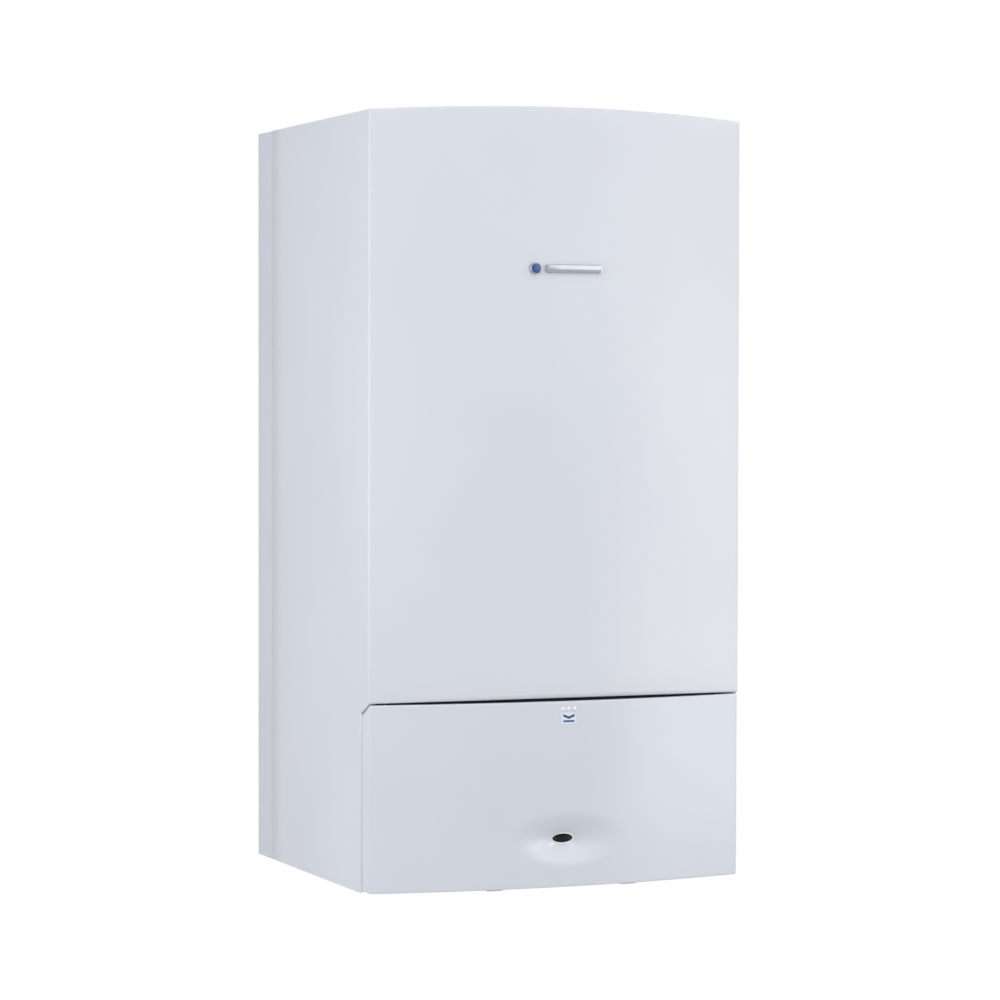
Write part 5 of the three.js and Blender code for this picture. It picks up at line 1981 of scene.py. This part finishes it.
@dataclass
class Studio:
    """Camera, lamps and the white surroundings.

    Attributes:
        camera_place: Camera in millimetres, from the casing's lower edge.
        yaw: How far the camera looks to the right of straight ahead, in radians.
        pitch: How far it looks down, in radians.
        roll: How far it is tilted about its axis, in radians.
        focal_px: Focal length as pixels of the photograph.
        frame_px: Width of the photograph in pixels.
        sensor: Width of the camera's sensor.
        floor_z: Height of the floor.
        floor_half: Half the floor's width, in metres.
        paper_white: sRGB colour of the floor.
        sky_tint: sRGB colour of the even light from all round.
        sky_strength: Strength of that light.
    """

    camera_place: Point = (-1483.6, -3855.8, 532.7)
    yaw: float = 0.3864
    pitch: float = 0.0289
    roll: float = 0.0018
    focal_px: float = 3459.6
    frame_px: float = 1000.0
    sensor: float = 36.0
    floor_z: float = -330.0
    floor_half: float = 6.0
    paper_white: str = "f4f4f4"
    sky_tint: str = "f4f6fa"
    sky_strength: float = 0.31

    def build(self) -> None:
        """Sets up the whole studio."""
        self.build_camera()
        self.build_lamps()
        self.build_world()
        self.build_floor()

    def build_camera(self) -> None:
        """A camera at the photograph's place, angle and focal length."""
        ahead = Vector(
            (
                math.sin(self.yaw) * math.cos(self.pitch),
                math.cos(self.yaw) * math.cos(self.pitch),
                -math.sin(self.pitch),
            )
        )
        level = Vector((math.cos(self.yaw), -math.sin(self.yaw), 0))
        upright = level.cross(ahead)
        right = level * math.cos(self.roll) + upright * math.sin(self.roll)
        up = right.cross(ahead)
        lens = bpy.data.cameras.new("studio_camera")
        lens.sensor_width = self.sensor
        lens.lens = self.focal_px / self.frame_px * self.sensor
        lens.clip_start = 0.05
        lens.clip_end = 50
        camera = bpy.data.objects.new("studio_camera", lens)
        bpy.context.scene.collection.objects.link(camera)
        turn = Matrix((right, up, -ahead)).transposed().to_4x4()
        camera.matrix_world = Matrix.Translation(placed(*self.camera_place)) @ turn
        bpy.context.scene.camera = camera

    def lamp(
        self, name: str, place: Point, aim: Point, size: float, watts: float, tint: str = "ffffff"
    ) -> None:
        """One square soft box.

        Args:
            name: Lamp name.
            place: Where it stands, in metres from the frame's origin.
            aim: What it points at, in metres.
            size: Edge length in metres.
            watts: Power.
            tint: sRGB colour of its light.
        """
        data = bpy.data.lights.new(name, "AREA")
        data.shape = "SQUARE"
        data.size = size
        data.energy = watts
        data.color = to_linear(tint)[:3]
        lamp = bpy.data.objects.new(name, data)
        bpy.context.scene.collection.objects.link(lamp)
        lamp.location = place
        lamp.rotation_euler = (Vector(aim) - Vector(place)).to_track_quat("-Z", "Y").to_euler()

    def build_lamps(self) -> None:
        """Soft boxes on both sides, one overhead, and a low one close to the front."""
        middle = (0.0, -0.2, -0.3)
        self.lamp("side_softbox", (-1.3, -0.85, -0.15), middle, 0.9, 8.9, "f4f8ff")
        self.lamp("key_softbox", (2.4, -1.2, 1.1), middle, 0.7, 14.0)
        self.lamp("front_softbox", (1.6, -2.6, 0.6), middle, 1.5, 8.0)
        self.lamp("top_softbox", (0.0, -1.2, 1.8), middle, 1.5, 16.8)
        self.lamp("low_softbox", (1.2, -1.4, -0.48), middle, 0.8, 3.7)

    def build_world(self) -> None:
        """Even pale light, and pure white behind the object."""
        world = bpy.data.worlds.new("studio_world")
        bpy.context.scene.world = world
        world.use_nodes = True
        tree = world.node_tree
        tree.nodes.clear()
        path = add_node(tree, "ShaderNodeLightPath")
        seen = self.seen_white(tree, path)
        soft = add_node(
            tree,
            "ShaderNodeBackground",
            values={"Color": to_linear(self.sky_tint), "Strength": self.sky_strength},
        )
        white = add_node(
            tree, "ShaderNodeBackground", values={"Color": (1, 1, 1, 1), "Strength": 1.0}
        )
        mix = add_node(
            tree,
            "ShaderNodeMixShader",
            links={0: seen, 1: soft.outputs[0], 2: white.outputs[0]},
        )
        add_node(tree, "ShaderNodeOutputWorld", links={"Surface": mix.outputs[0]})

    @staticmethod
    def seen_white(tree: bpy.types.NodeTree, path: bpy.types.Node) -> bpy.types.NodeSocket:
        """A socket that is 1 where a ray comes from the camera, a glossy surface or glass.

        Args:
            tree: Node tree that takes the nodes.
            path: Its Light Path node.

        Returns:
            Output socket, 0 or 1.
        """
        first = add_node(
            tree,
            "ShaderNodeMath",
            settings={"operation": "MAXIMUM"},
            links={0: path.outputs["Is Camera Ray"], 1: path.outputs["Is Glossy Ray"]},
        )
        return add_node(
            tree,
            "ShaderNodeMath",
            settings={"operation": "MAXIMUM"},
            links={0: first.outputs[0], 1: path.outputs["Is Transmission Ray"]},
        ).outputs[0]

    def build_floor(self) -> None:
        """A plain pale floor well below the boiler, which doesn't show from underneath."""
        builder = bmesh.new()
        bmesh.ops.create_grid(builder, x_segments=1, y_segments=1, size=self.floor_half)
        for vertex in builder.verts:
            vertex.co.z = placed(0, 0, self.floor_z).z
        mesh = bpy.data.meshes.new("studio_floor")
        builder.to_mesh(mesh)
        builder.free()
        floor = bpy.data.objects.new("studio_floor", mesh)
        bpy.context.scene.collection.objects.link(floor)
        paper = bpy.data.materials.new("pale_paper")
        paper.use_nodes = True
        tree = paper.node_tree
        shader = tree.nodes["Principled BSDF"]
        shader.inputs["Base Color"].default_value = to_linear(self.paper_white)
        shader.inputs["Roughness"].default_value = 0.9
        path = add_node(tree, "ShaderNodeLightPath")
        white = add_node(
            tree, "ShaderNodeEmission", values={"Color": (1, 1, 1, 1), "Strength": 1.0}
        )
        mix = add_node(
            tree,
            "ShaderNodeMixShader",
            links={0: self.seen_white(tree, path), 1: shader.outputs[0], 2: white.outputs[0]},
        )
        under = add_node(tree, "ShaderNodeNewGeometry").outputs["Backfacing"]
        clear = add_node(tree, "ShaderNodeBsdfTransparent")
        sides = add_node(
            tree,
            "ShaderNodeMixShader",
            links={0: under, 1: mix.outputs[0], 2: clear.outputs[0]},
        )
        tree.links.new(sides.outputs[0], tree.nodes["Material Output"].inputs["Surface"])
        mesh.materials.append(paper)


def main() -> None:
    """Builds every sub-assembly in order."""
    bpy.context.scene.view_settings.view_transform = "Standard"
    curve = FrontCurve()
    Studio().build()
    KeptSolids().build()
    OuterCasing(curve).build()
    FlapCover(curve, Dish()).build()
    Badge(curve).build()
    ControlPanel().build()
    for run in water_pipes():
        run.build()
    FlueSocket().build()


if __name__ == "__main__":
    main()
